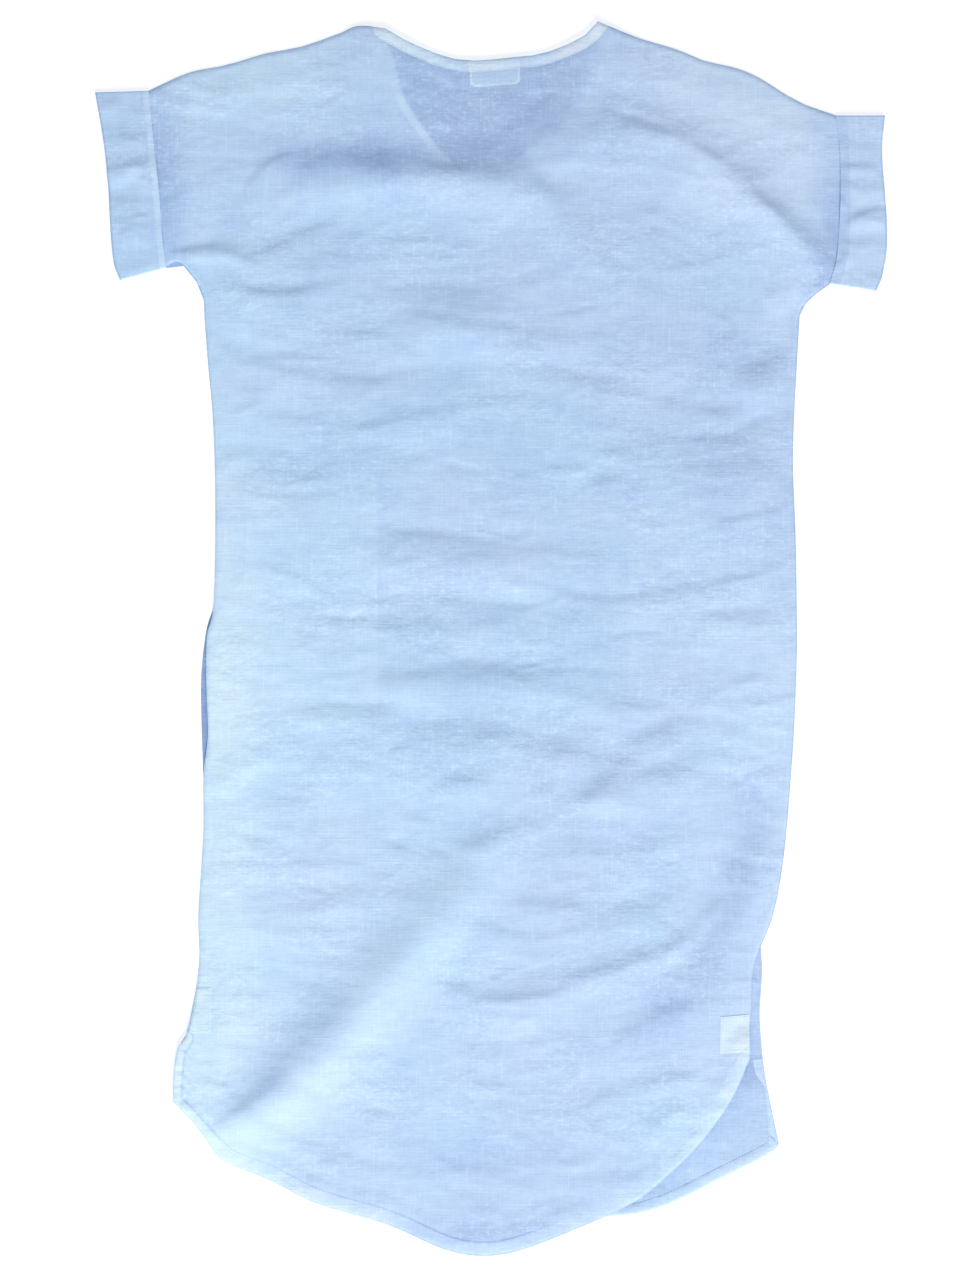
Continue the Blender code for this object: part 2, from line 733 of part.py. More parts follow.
def main():
    clear_scene()
    parts = bpy.data.collections.new("kaftan_dress")
    bpy.context.scene.collection.children.link(parts)

    grid = back_grid()
    rows, columns = grid.shape[0] - 1, grid.shape[1] - 1
    neck = slice(SHOULDER_COLUMNS, SHOULDER_COLUMNS + NECK_COLUMNS + 1)
    vent_start = next(r for r in range(rows) if grid[r, 0, 1] < LEFT_VENT_EDGE[0].y)
    outlines = {
        "front_panel": front_outline(),
        "hem_front": front_hem_outline(),
        "v_facing": v_facing_outline(),
        "pocket_bag_left": straight(LEFT_BAG),
        "pocket_bag_right": straight(RIGHT_BAG),
        "label": straight(LABEL),
        "neck_facing": np.vstack([grid[0, neck], grid[1, neck][::-1]]),
        "hem_back": np.vstack(
            [grid[vent_start:, 0], grid[-1, 1:], grid[-2, 1:][::-1], grid[vent_start:-2, 1][::-1]]
        ),
    }
    heights = back_heights(grid, outlines)
    back = grid_piece(
        "back_panel", grid, heights, np.ndindex(rows, columns), WALL, 1, parts, CLOTH_BLUE
    )
    facing_cells = [(0, c) for c in range(neck.start, neck.stop - 1)]
    hem_cells = [(r, 0) for r in range(vent_start, rows - 1)]
    hem_cells += [(rows - 1, c) for c in range(columns)]
    for name, cells in (("neck_facing", facing_cells), ("hem_back", hem_cells)):
        grid_piece(name, grid, heights - GAP, cells, TRIM_WALL, -1, parts, TRIM_BLUE)

    on_front = WALL + GAP
    under_facing = WALL - TRIM_WALL
    for name, low, wall, colour in (
        ("front_panel", 0.0, WALL, CLOTH_BLUE),
        ("hem_front", on_front, TRIM_WALL, TRIM_BLUE),
        ("v_facing", on_front, TRIM_WALL, TRIM_BLUE),
        ("pocket_bag_left", on_front, BAG_WALL, CLOTH_BLUE),
        ("pocket_bag_right", on_front, BAG_WALL, CLOTH_BLUE),
        ("label", under_facing, TRIM_WALL, LABEL_WHITE),
    ):
        flat_piece(name, outlines[name], low, wall, parts, colour)

    cuff("cuff_left", LEFT_CUFF_SEAM, LEFT_CUFF_EDGE, -1, parts)
    cuff("cuff_right", RIGHT_CUFF_SEAM, RIGHT_CUFF_EDGE, 1, parts)
    bpy.context.view_layer.update()
    patch("vent_patch_left", LEFT_PATCH, back, parts)
    patch("vent_patch_right", RIGHT_PATCH, back, parts)


main()
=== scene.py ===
"""Looks of the linen kaftan dress, laid out flat with its back upwards.

Every piece of cloth is a thin shell on the form of its solid, in the same place. The
tables and widths are in millimetres, and MM turns them into metres. The back is a fine
grid with the main folds, smaller creases, crumples, rolled edges and puckered hems. What
lies under the thin cloth shows through it as lighter and darker places, which the
material works out from each point's distance to the pieces underneath. The material
also paints light and shade: painted light and shade by place, painted shade beside
folds, seams and edges, painted glints, and a painted colour cast of the light.
"""

import math
from collections import namedtuple

import bpy
import numpy as np
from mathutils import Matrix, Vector
from mathutils.kdtree import KDTree


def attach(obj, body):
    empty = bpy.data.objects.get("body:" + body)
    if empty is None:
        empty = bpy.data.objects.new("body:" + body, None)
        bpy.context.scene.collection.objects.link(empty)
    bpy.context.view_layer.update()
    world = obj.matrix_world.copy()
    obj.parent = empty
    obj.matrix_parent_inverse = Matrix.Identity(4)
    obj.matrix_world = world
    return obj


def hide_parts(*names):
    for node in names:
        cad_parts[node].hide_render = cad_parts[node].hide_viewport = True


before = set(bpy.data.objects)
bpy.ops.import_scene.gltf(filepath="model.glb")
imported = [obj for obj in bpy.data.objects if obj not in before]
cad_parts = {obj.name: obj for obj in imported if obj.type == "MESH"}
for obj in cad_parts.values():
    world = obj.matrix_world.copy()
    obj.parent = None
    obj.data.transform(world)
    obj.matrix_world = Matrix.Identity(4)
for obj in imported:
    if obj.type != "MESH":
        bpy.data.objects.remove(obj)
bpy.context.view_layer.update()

MM = 0.001

# Cloth and layers, as in the solids
WALL = 1.2
CUFF_WALL = 1.3
CUFF_HOLLOW = 0.6
TRIM_WALL = 1.0
BAG_WALL = 1.2
GAP = 0.3
NECK_FACING_WIDTH = 11.0
HEM_WIDTH = 12.0
VENT_EDGE_WIDTH = 9.0
FRONT_HEM_WIDTH = 10.0
V_FACING_WIDTH = 7.0

# How the back lies, as in the solids
LOFT = 2.6
LOFT_RAMP = 34.0
HEM_SHARE = 0.5
FOLD_OVERRUN = 0.2
FOLD_TAPER = 0.5
COVER_REACH = 20.0
OWN_REACH = 1.0
COVER_FADE = 16.0

CLOTH = 0.5  # thickness of one layer of linen here
SHARP = math.radians(50)  # edges that turn by more than this aren't shaded smooth
DENSE_STEP = 2.0  # between the points of a line when distances are measured
BACK_LOW = 1.8  # how low the back's top may sink where only the front is under it
OWN_LAYERS = 0.7  # how much higher that is over the back's own turned layer
SETTLING = 0.35  # how softly it settles there
CREASE_MARGIN = 2.0  # the small creases begin this far inside the back's edges
CREASE_RAMP = 12.0
FRONT_TOP = 0.62  # mean height of the front's inner face
FRONT_RIPPLE = 0.5  # how far its creases rise and fall
FRONT_MARGIN = 6.0  # they begin this far inside its edges
FRONT_RAMP = 16.0
EDGE_DROP = 0.1  # how far the front's edge comes down
PATCH_DROP = 0.08  # the same at a patch
DROP_WIDTH = 2.0

# Edges and seams of the back
SEAM_ROLL = 1.6  # how far the top comes down at a fold or a side seam
TURNED_ROLL = 0.8  # the same at a hem or the neck
ROLL_WIDTH = 4.0
TURNED_ROLL_WIDTH = 2.8
SEAM_DIP = 0.2  # the same beside a cuff
SEAM_DIP_WIDTH = 3.0
STITCH_DIP = 0.3
STITCH_DIP_WIDTH = 1.3
STITCH_SHARE = 0.9  # where the seam of a turned edge runs
PUCKER_RISE = 4.0  # puckers begin over this width at the edge
HEM_PUCKER_END = (10.0, 22.0)  # where they begin to fade, and the width of that
NECK_PUCKER_END = (9.0, 16.0)
# Waves (length, size, phase) along the edges
HEM_PUCKERS = [(11.3, 0.16, 0.0), (17.9, 0.2, 1.3), (29.0, 0.22, 4.0), (7.1, 0.08, 2.2)]
NECK_PUCKERS = [(13.7, 0.1, 0.5), (23.0, 0.12, 2.0)]
FRONT_HEM_PUCKERS = [(9.7, 0.1, 0.3), (15.9, 0.14, 2.0), (27.0, 0.12, 5.0)]
CUFF_EDGE_PUCKERS = [(5.3, 0.14, 0.0), (8.1, 0.16, 1.1)]
CRUMPLE_SEED = 7
CRUMPLE_COUNT = 420
FRONT_SEED = 3
FRONT_CREASES = 130

# Pieces under, on and beside the panels
FACING_SHEET = 0.35  # thickness of facings, hems, patches and label
UNDER_GAP = 0.15  # between the back and its own turned layer
CUFF_SKIN = 1.0
CUFF_RINGS = 26
CUFF_POINTS = 58
CUFF_TURN_POINTS = 9
CUFF_INNER_RINGS = 5
CUFF_EDGE_OUT = 0.3
CUFF_ROLL = 1.0
CUFF_ROLL_WIDTH = 3.5
CUFF_PUCKER_REACH = 5.0
CUFF_LOWEST = -1.0  # how deep a crease may be there
CREASE_GAIN = 2.2
SEAM_RIDGE = 0.3
SEAM_RIDGE_FADE = 1.5
SEAM_LAP = 0.4  # how far a cuff lies over the edge that it is sewn to
LEFT_SEAM_WIDTH = 5.5
RIGHT_SEAM_WIDTH = 9.0
PATCH_ROWS = 20
PATCH_COLUMNS = 16
PATCH_LIFT = 0.5
PATCH_STITCH_INSET = 1.6
PATCH_STITCH_STEP = 1.5
STITCH_PITCH = 3.2
STITCH_LENGTH = 2.3
STITCH_RADIUS = 0.2
STITCH_ANGLES = [math.radians(90 * k + 45) for k in range(4)]
STITCH_FORM = [(-1, 0.35), (-0.6, 1), (0.6, 1), (1, 0.35)]  # along it, and share of the radius
STRIP_STEP = 3.0
CORNER_STEP = 6.0
STRIP_START = 0.7  # height of the strip at its end beside the vent
STRIP_TAPER = 12.0
# Across the front's hem strip: distances from the edge, and heights at some of them
HEM_STRIP_OFFSETS = [0.2, 0.5, 1.2, 2.4, 4.2, 6.2, 8.0, 9.0, 9.6, 10.0]
HEM_STRIP_FORM = [(0.2, 0.7), (0.9, 1.35), (2.2, 1.6), (5, 1.55), (8, 1.25), (9.2, 0.95), (10, 0.7)]
HEM_STITCH = 8  # which of those distances its seam follows
# How much of the strip's width shows beside the right vent, by height: it is rolled under
VENT_STRIP_SHARES = [
    (-472, 1.0), (-462, 0.84), (-450, 0.58), (-438, 0.44), (-427, 0.3), (-418, 0.25),
    (-411, 0.5), (-404, 0.85), (-391, 0.95),
]
MITRE_END = (-9.3, 9.0)  # from the front's corner to the inner corner of its hem
MITRE_GROOVE = 0.6
MITRE_WIDTH = 1.2
V_FACING_OFFSETS = [0.3, 0.8, 2.0, 3.5, 5.0, 6.2, 6.8]
V_FACING_TOP = 1.6
V_FACING_CUT = 10.5  # its width with what is turned under
V_EDGE_DROP = 0.2
BAG_ROWS = 24
BAG_COLUMNS = 12
BAG_TOP = 1.9
BAG_SHEET = 0.8
LABEL_CELLS = 8
LABEL_TOP = 1.2

# Flat width and length of some cuts, and the share of that rectangle that each cloth fills
BACK_CUT = (660, 1150)
FRONT_CUT = (660, 1120)
BAG_CUT = (157, 265)
LABEL_CUT = (48, 26)
BACK_SHARE = 0.817
FRONT_SHARE = 0.812
STRIP_SHARE = 0.97  # also of the cuffs
BACK_HEM_SHARE = 0.9
PATCH_SHARE = 0.85
BAG_SHARE = 0.8
LABEL_SHARE = 0.95

Point = namedtuple("Point", "x y")
Side = namedtuple("Side", "y left right")
Fold = namedtuple("Fold", "x1 y1 x2 y2 x3 y3 height steep soft")
Counts = namedtuple("Counts", "across down shoulder neck sleeve underarm side")

# How many fine cells there are to one of the solids' across and down, and how many of the
# solids' there are on a shoulder, each line of the neck, a sleeve, an underarm and a side
BACK_COUNTS = Counts(4, 8, 12, 12, 11, 4, 56)
FRONT_COUNTS = Counts(3, 3, 10, 8, 9, 4, 42)
RING_SHARES = (0.07, 0.2, 0.42, 0.65, 0.82, 0.9)  # lines of the fine grid inside its border


def listed(kind, *rows):
    return [kind(*row) for row in rows]


LEFT_SHOULDER = listed(
    Point, (-319, 510), (-281, 527), (-246, 534), (-211, 544.5), (-177, 551), (-141, 563.5),
    (-124, 570.3), (-98.6, 567.8),
)
RIGHT_SHOULDER = listed(
    Point, (321.5, 487), (286, 500), (250, 522), (227, 531.5), (200, 537.5), (173, 548.5),
    (135, 560), (99.5, 574.3),
)
BACK_NECK = listed(
    Point, (-98.6, 567.8), (-74, 554), (-40, 541), (-15, 538), (28, 541.7), (50, 545), (84, 559),
    (99.5, 574.3),
)
V_LEFT = listed(Point, (-98.6, 567.8), (-91.5, 540), (-80, 501), (-50.5, 457.5))
V_TIP = Point(-12, 413.5)
V_RIGHT = listed(Point, (35, 453.5), (77, 488), (98, 550), (99.5, 574.3))
LEFT_CUFF_SEAM = listed(
    Point, (-319, 510), (-313.5, 454), (-309.5, 419), (-306.5, 375), (-303, 345),
)
RIGHT_CUFF_SEAM = listed(Point, (321.5, 487), (325, 454), (325.5, 410), (322.5, 357), (315.5, 330))
LEFT_CUFF_EDGE = listed(
    Point, (-368.3, 508.5), (-360, 459), (-356, 419), (-354, 382), (-351, 350), (-345, 333.5),
)
RIGHT_CUFF_EDGE = listed(
    Point, (366.5, 487), (363.8, 451.5), (367.5, 400), (368.3, 366), (364, 338), (358, 323.5),
)
LEFT_UNDERARM = listed(Point, (-303, 345), (-291, 350), (-277, 336), (-268, 318), (-266.5, 295))
RIGHT_UNDERARM = listed(Point, (315.5, 330), (301, 319.5), (290, 308), (286.7, 295), (286.6, 287))
BACK_SIDES = listed(
    Side, (250, -263.0, 284.5), (212, -259.5, 282.5), (160, -257.2, 281.2), (92, -256.7, 283.7),
    (28, -258.5, 284.6), (2, -264.4, 284.8), (-40, -265.1, 284.0), (-90, -263.6, 281.8),
    (-127, -267.6, 279.2), (-178, -267.8, 275.3), (-225, -270.6, 269.5), (-262, -272.6, 261.3),
    (-303, -271.8, 245.8), (-345, -278.4, 242.8),
)
RIGHT_VENT_TOP = Point(241.3, -390)
LEFT_VENT_EDGE = listed(Point, (-284.6, -370.5), (-292, -382), (-295.7, -410), (-295.7, -431))
BACK_HEM = listed(
    Point, (-295.7, -431), (-271, -457), (-259, -475), (-246, -487.5), (-207, -503), (-163, -525),
    (-96, -545), (-45, -567.5), (-9, -574.3), (28, -568.7), (85, -546.5), (135, -523),
    (167, -497), (196, -468), (223, -430), (241.3, -390),
)
POCKET_MOUTH = listed(Point, (-258.5, 28), (-265, 8), (-269.7, -32), (-269.7, -75), (-267.9, -127))
FRONT_RIGHT = listed(
    Point, (261.3, -262), (251.8, -283), (252.6, -309), (250.4, -345), (251, -366), (254.2, -400),
    (260, -432), (268.2, -471),
)
FRONT_HEM = listed(
    Point, (268.2, -471), (260, -479.5), (221, -499.5), (161, -528.5), (115, -538), (20, -541),
    (-80, -534), (-163, -514), (-225, -485), (-262, -455), (-290.5, -427),
)
FRONT_LEFT_VENT = listed(Point, (-290.5, -427), (-290, -400), (-282, -372), (-276, -345))
LEFT_BAG = listed(
    Point, (-261, 14), (-228, 60), (-228, 147), (-105, 147), (-105, -66), (-115, -76),
    (-228, -98), (-262, -118),
)
RIGHT_BAG = listed(
    Point, (281, 14), (254, 60), (254, 128), (127, 128), (127, -66), (137, -76), (250, -98),
    (276, -118),
)
LABEL = listed(Point, (-21.4, 538), (27, 539.5), (27, 518), (25, 515.6), (-15.5, 512.6), (-19, 515))
LEFT_PATCH = listed(Point, (-273.8, -326), (-260.5, -325), (-261, -366), (-281, -367))
RIGHT_PATCH = listed(Point, (213.5, -352), (240.2, -350), (240.2, -384), (213, -386))

# The main folds, which the solids have too, within a few millimetres. Each follows an arc
# through its three points, and its crest lies to the right of the way from the first to
# the third.
FOLDS = listed(
    Fold,
    (-240, 401, -110, 451, 34, 431, 6.2, 24, 26),
    (29, 445, 69, 410, 117, 343, 4, 13, 22),
    (70, 482, 199, 471, 300, 354, 5.8, 22, 38),
    (-138, 398, -213, 363, -294, 346, -3.3, 24, 26),
    (-247, 330, -200, 324, -148, 333, 3.6, 8, 41),
    (-78, 311, -30, 319, 14, 311, 4.8, 24, 24),
    (-252, 264, -176, 249, -92, 242, 0.9, 6, 20),
    (-96, 256, 22, 263, 122, 250, -1.2, 8, 13),
    (-138, 200, -84, 205, -30, 217, 1.7, 13, 13),
    (168, 190, 226, 181, 280, 194, 2.9, 24, 55),
    (221, 251, 251, 250, 281, 262, 3.5, 17, 17),
    (-148, 140, -200, 142, -252, 139, -2.9, 24, 24),
    (-103, 97, -11, 87, 111, 72, 2.2, 16, 20),
    (-250, 42, -103, 48, 36, 50, -2, 20, 20),
    (262, 63, 139, 37, 20, 54, -1.3, 8, 33),
    (-106, -38, -1, -31, 103, -39, 2.5, 16, 19),
    (270, 21, 232, 22, 190, 16, -0.9, 8, 10),
    (-182, -67, -136, -67, -92, -64, 1.8, 10, 15),
    (-150, -101, -60, -78, 66, -99, 3.3, 24, 55),
    (83, -143, 137, -122, 199, -105, 4.3, 17, 27),
    (119, -105, 176, -76, 229, -87, 1, 8, 11),
    (-250, -217, -178, -218, -100, -218, -0.8, 14, 14),
    (-250, -260, -200, -254, -140, -260, 1.4, 16, 22),
    (204, -277, 88, -310, -22, -325, -2.9, 17, 38),
    (-5, -257, 81, -255, 191, -229, 3.4, 24, 50),
    (-242, -434, -137, -321, -20, -182, 10.7, 30, 30),
    (266, -148, 227, -239, 190, -324, -2.9, 18, 22),
    (45, -435, 121, -420, 197, -409, 1.1, 11, 55),
    (96, -495, 0, -505, -90, -497, 1.1, 8, 15),
)


# Smaller creases of the back, the same way. A height below 0 is a trough.
CREASES = listed(
    Fold,
    (-258, -447, -226, -427, -194, -399, 3.4, 9, 22),
    (-32, -191, -11, -185, 15, -174, 2.3, 9, 13),
    (-37, -323, 5, -330, 62, -324, 3.5, 9, 24),
    (52, -326, 118, -300, 165, -287, 1.8, 9, 13),
    (152, -294, 182, -267, 205, -242, 2, 9, 9),
    (92, -268, 30, -277, -20, -262, -1.1, 6, 13),
    (172, -243, 120, -257, 85, -264, -1.3, 9, 13),
    (12, -242, 45, -241, 98, -254, 1.9, 9, 30),
    (-29, -322, -22, -289, -12, -262, 2.8, 9, 24),
    (-266, -206, -215, -209, -125, -206, 0.9, 5, 13),
    (-198, -185, -215, -187, -232, -189, -0.9, 5, 15),
    (-197, -249, -180, -247, -140, -246, 0.8, 9, 9),
    (-52, -134, -22, -129, 3, -129, 2.5, 9, 22),
    (80, -147, 94, -140, 108, -126, 1.8, 9, 16),
    (187, -99, 138, -124, 109, -143, 1.3, 9, 9),
    (52, -105, 69, -102, 88, -101, 1.8, 9, 16),
    (-177, -115, -162, -112, -144, -109, 1.8, 8, 15),
    (108, -387, 140, -354, 200, -336, 1.8, 9, 18),
    (128, -414, 165, -407, 198, -400, 0.9, 6, 8),
    (128, -423, 104, -425, 82, -429, -0.8, 9, 19),
    (137, -459, 151, -446, 197, -429, 1.7, 9, 25),
    (-25, -407, -5, -414, 14, -411, 0.8, 4, 13),
    (-178, -301, -140, -299, -92, -302, 0.6, 9, 9),
    (-261, -334, -200, -325, -149, -324, 0.7, 7, 17),
    (-158, -231, -105, -232, -42, -230, 1.2, 9, 18),
    (25, 85, -46, 93, -108, 101, -1.7, 7, 13),
    (19, 84, 62, 83, 117, 72, 0.7, 5, 9),
    (155, 43, 95, 36, 48, 50, -0.6, 4, 7),
    (150, 44, 205, 55, 266, 63, 0.8, 5, 9),
    (-192, 27, -142, 38, -88, 34, 1.2, 7, 10),
    (68, 20, -21, 30, -92, 32, -1.3, 8, 13),
    (-252, 43, -216, 35, -180, 36, 0.8, 9, 13),
    (-108, 12, -85, 12, -52, 17, 1.3, 8, 22),
    (-103, -35, -75, -32, -50, -27, 2.4, 8, 21),
    (48, -31, 0, -30, -50, -28, -2.3, 9, 18),
    (122, -34, 82, -32, 46, -30, -0.7, 5, 7),
    (-165, -70, -192, -70, -228, -75, -0.9, 9, 11),
    (-73, -66, -115, -65, -162, -63, -0.9, 5, 7),
    (-18, -83, -62, -82, -105, -87, -0.7, 5, 9),
    (-18, -91, 3, -87, 23, -86, 1.3, 6, 17),
    (78, -52, 105, -59, 162, -59, 1.4, 9, 17),
    (198, 26, 232, 22, 274, 16, 1.5, 9, 24),
    (203, 112, 235, 114, 272, 123, 1.3, 5, 17),
    (253, 198, 212, 183, 164, 184, -1.2, 7, 7),
    (198, -53, 223, -40, 265, -35, 0.6, 5, 5),
    (227, 205, 184, 214, 147, 221, -1.4, 8, 17),
    (-148, 214, -178, 203, -208, 204, -1.2, 7, 18),
    (-136, 193, -90, 206, -19, 219, 0.6, 5, 5),
    (-125, 162, -180, 157, -218, 159, -0.7, 9, 9),
    (-150, 134, -195, 132, -232, 134, -0.6, 4, 5),
    (192, -77, 157, -85, 124, -103, -0.9, 9, 11),
    (257, -88, 221, -74, 188, -66, 0.7, 7, 27),
    (-188, 452, -109, 451, -12, 435, 1.9, 9, 23),
    (-8, 436, -72, 434, -132, 440, -2, 9, 30),
    (-14, 440, 8, 434, 32, 441, 1.4, 9, 17),
    (-231, 410, -220, 431, -188, 453, 2.2, 4, 16),
    (-311, 489, -252, 488, -205, 471, -0.8, 4, 12),
    (120, 482, 178, 465, 225, 440, 1.5, 5, 12),
    (225, 440, 262, 401, 305, 359, 1.6, 5, 12),
    (-312, 457, -262, 452, -205, 451, -0.6, 3, 10),
    (-187, 426, -169, 443, -148, 453, 0.8, 9, 13),
    (99, 493, 152, 478, 206, 462, 0.4, 3, 7),
    (195, 463, 223, 432, 251, 403, 2.1, 9, 30),
    (245, 416, 280, 393, 315, 356, 3.1, 9, 18),
    (-302, 352, -268, 366, -220, 354, 2.5, 9, 9),
    (-139, 389, -184, 370, -217, 357, -2.5, 9, 30),
    (-142, 337, -201, 332, -250, 325, 0.9, 9, 18),
    (0, 322, -60, 321, -115, 322, -1.1, 8, 18),
    (-55, 296, 20, 288, 95, 279, 1.8, 9, 30),
    (-98, 287, -135, 284, -168, 286, -1, 5, 24),
    (-211, 257, -239, 266, -261, 281, -1.2, 8, 8),
    (-218, 262, -185, 263, -148, 261, 1.3, 5, 26),
    (-62, 252, -140, 236, -203, 253, -1.2, 8, 24),
    (114, 235, 81, 242, 45, 248, -1.7, 9, 17),
    (253, 320, 270, 328, 289, 337, 2, 9, 17),
    (283, 267, 258, 257, 239, 246, -1.9, 9, 20),
    (94, 348, 61, 390, 38, 434, -1.2, 9, 10),
    (42, 446, 72, 447, 110, 451, 0.4, 5, 5),
    (50, 425, 70, 416, 92, 412, 0.9, 9, 10),
    (60, 217, 10, 222, -30, 219, -0.8, 9, 10),
    (-205, 179, -191, 169, -165, 176, 0.6, 6, 6),
    (-110, 73, -90, 72, -70, 73, 0.6, 4, 13),
    (90, 142, 77, 133, 60, 160, -0.4, 4, 15),
    (99, 176, 126, 178, 157, 190, 1, 9, 18),
    (-120, -176, -150, -175, -170, -175, -1.1, 9, 18),
    (202, -196, 163, -203, 132, -221, 0.8, 9, 14),
    (112, -190, 80, -189, 55, -186, -0.9, 7, 22),
    (9, -551, -20, -552, -61, -544, 0.9, 9, 26),
    (91, -501, 114, -488, 151, -471, 0.7, 9, 9),
    (-200, 232, -229, 232, -250, 240, -1.2, 9, 18),
    (217, -452, 188, -462, 172, -482, -1.4, 4, 17),
    (228, -261, 239, -213, 211, -179, 1.1, 9, 30),
    (70, -380, 40, -389, 8, -378, 0.4, 8, 8),
    (-70, -442, -95, -444, -120, -443, -0.4, 8, 11),
)

# Painted light and shade: a highlight along the great diagonal fold, where the cloth is
# stretched smooth, shade beside the left vent, and darker, more lilac shade low on its
# right side. Each number is how much of it there is on that line, and each width how far
# to its sides it reaches.
HIGHLIT_SMOOTH_RIDGE = listed(Point, (-235, -470), (-170, -400), (-90, -300), (-30, -215))
HIGHLIT_SMOOTH_MOST, HIGHLIT_SMOOTH_WIDTH = 0.8, 30
VENT_SHADE = listed(Point, (-250, -440), (-212, -412), (-150, -348))
VENT_SHADE_WIDTH = 20
LILAC_SHADE = listed(Point, (248, -150), (234, -235), (203, -310), (150, -365))
LILAC_MOST, LILAC_WIDTH = 0.7, 28

# Creases of the cuffs' upper layers
LEFT_CUFF_CREASES = listed(
    Fold,
    (-359, 437, -341, 441, -322, 444, 1.0, 4, 7),
    (-357, 429, -348, 431, -338, 433, 0.7, 3, 6),
    (-366, 496, -357, 499, -348, 504, 0.9, 4, 7),
    (-326, 431, -319, 429, -312, 425, 0.6, 3, 6),
    (-346, 378, -331, 384, -317, 386, 0.8, 3, 7),
    (-342, 373, -328, 376, -314, 370, 0.7, 3, 6),
    (-352, 389, -336, 392, -316, 397, 0.7, 3, 7),
    (-356, 470, -340, 467, -322, 470, 0.5, 4, 9),
    (-342, 346, -326, 349, -310, 356, 0.6, 4, 7),
    (-352, 412, -336, 408, -320, 410, 0.4, 5, 10),
)
RIGHT_CUFF_CREASES = listed(
    Fold,
    (324, 440, 342, 441, 360, 439, 0.9, 3.5, 7),
    (330, 387, 346, 397, 368, 400, 1.2, 4, 8),
    (344, 389, 354, 391, 368, 390, 0.8, 3, 7),
    (317, 413, 324, 410, 331, 405, 0.6, 3, 6),
    (348, 338, 356, 338, 366, 338, 0.8, 4, 8),
    (318, 346, 324, 352, 331, 361, 0.8, 4, 7),
    (330, 464, 346, 460, 362, 462, 0.5, 5, 9),
    (334, 424, 348, 420, 364, 422, 0.4, 5, 9),
    (326, 372, 340, 368, 356, 372, 0.5, 4, 8),
)


# Lines in the plane


def smoothstep(x):
    x = np.clip(x, 0.0, 1.0)
    return x * x * (3.0 - 2.0 * x)


def fading(far, width):
    """1 at 0 and below, falling smoothly to 0 at this width."""
    return 1.0 - smoothstep(far / width)


def bell(far, width):
    return np.exp(-((far / width) ** 2))


def straight(points):
    return np.array(points, float)


def through(points, steps=8):
    """A smooth line through the points (Catmull-Rom), with this many steps between two."""
    p = straight(points)
    padded = np.vstack([2 * p[0] - p[1], p, 2 * p[-1] - p[-2]])
    line = []
    for a, b, c, d in zip(padded, padded[1:], padded[2:], padded[3:], strict=False):
        for t in np.arange(steps) / steps:
            square = (2 * a - 5 * b + 4 * c - d) * t**2
            cube = (3 * b - 3 * c + d - a) * t**3
            line.append(0.5 * (2 * b + (c - a) * t + square + cube))
    line.append(p[-1])
    return np.array(line)


def lengths(line):
    steps = np.linalg.norm(np.diff(line, axis=0), axis=1)
    return np.concatenate([[0.0], np.cumsum(steps)])


def at(line, stops):
    """Points at these distances along the line."""
    run = lengths(line)
    return np.column_stack([np.interp(stops, run, line[:, k]) for k in range(line.shape[1])])


def spaced(line, pieces, first=0.0, last=0.0):
    """Points along the line in even steps, apart from a first or last step that is given."""
    size = lengths(line)[-1]
    even = pieces - (first > 0) - (last > 0)
    stops = np.linspace(first, size - last, even + 1)
    if first:
        stops = np.concatenate([[0.0], stops])
    if last:
        stops = np.concatenate([stops, [size]])
    return at(line, stops)


def finely(line, pieces, fine, first=0.0, last=0.0):
    """The same with this many fine steps for each even one."""
    ends = (first > 0) + (last > 0)
    return spaced(line, fine * (pieces - ends) + ends, first, last)


def joined(*lines):
    """One line from several that meet end to end."""
    return np.vstack([*[line[:-1] for line in lines[:-1]], lines[-1]])


def left_normals(line):
    way = np.gradient(line, axis=0)
    way /= np.linalg.norm(way, axis=1)[:, None]
    return np.column_stack([-way[:, 1], way[:, 0]])


def mitred_normals(line):
    """Left normals, lengthened at a corner so that a strip keeps its width on both sides."""
    way = np.diff(line, axis=0)
    way /= np.linalg.norm(way, axis=1)[:, None]
    normal = np.column_stack([-way[:, 1], way[:, 0]])
    before = np.vstack([normal[:1], normal])
    after = np.vstack([normal, normal[-1:]])
    middle = before + after
    middle /= np.linalg.norm(middle, axis=1)[:, None]
    return middle / (middle * after).sum(axis=1)[:, None]


def nearest(points, line):
    """How far each point is from the line, and how far along it the nearest place is."""
    run = lengths(line)
    stops = np.unique(np.concatenate([run, np.arange(0, run[-1], DENSE_STEP)]))
    dense = at(line, stops)
    tree = KDTree(len(dense))
    for k, (x, y) in enumerate(dense):
        tree.insert((x, y, 0), k)
    tree.balance()
    found = np.array([tree.find((x, y, 0))[1] for x, y in points])
    far = np.full(len(points), np.inf)
    along = np.zeros(len(points))
    for first in (found - 1, found):
        a = np.clip(first, 0, len(dense) - 2)
        way = dense[a + 1] - dense[a]
        size = np.maximum((way**2).sum(axis=1), 1e-9)
        share = np.clip(((points - dense[a]) * way).sum(axis=1) / size, 0, 1)
        apart = np.linalg.norm(points - dense[a] - share[:, None] * way, axis=1)
        closer = apart < far
        far = np.where(closer, apart, far)
        along = np.where(closer, stops[a] + share * np.sqrt(size), along)
    return far, along


def distance(points, *lines):
    return np.min([nearest(points, line)[0] for line in lines], axis=0)


def inside(points, outline):
    x, y = points[:, 0][:, None], points[:, 1][:, None]
    x1, y1 = outline[:, 0], outline[:, 1]
    x2, y2 = np.roll(x1, -1), np.roll(y1, -1)
    spans = (y1 > y) != (y2 > y)
    rise = np.where(y2 == y1, 1e-9, y2 - y1)
    crossing = x1 + (y - y1) / rise * (x2 - x1)
    return (spans & (x < crossing)).sum(axis=1) % 2 == 1


def depth_in(points, outline):
    """Distance to the outline, positive inside it and negative outside."""
    far = distance(points, np.vstack([outline, outline[:1]]))
    return np.where(inside(points, outline), far, -far)


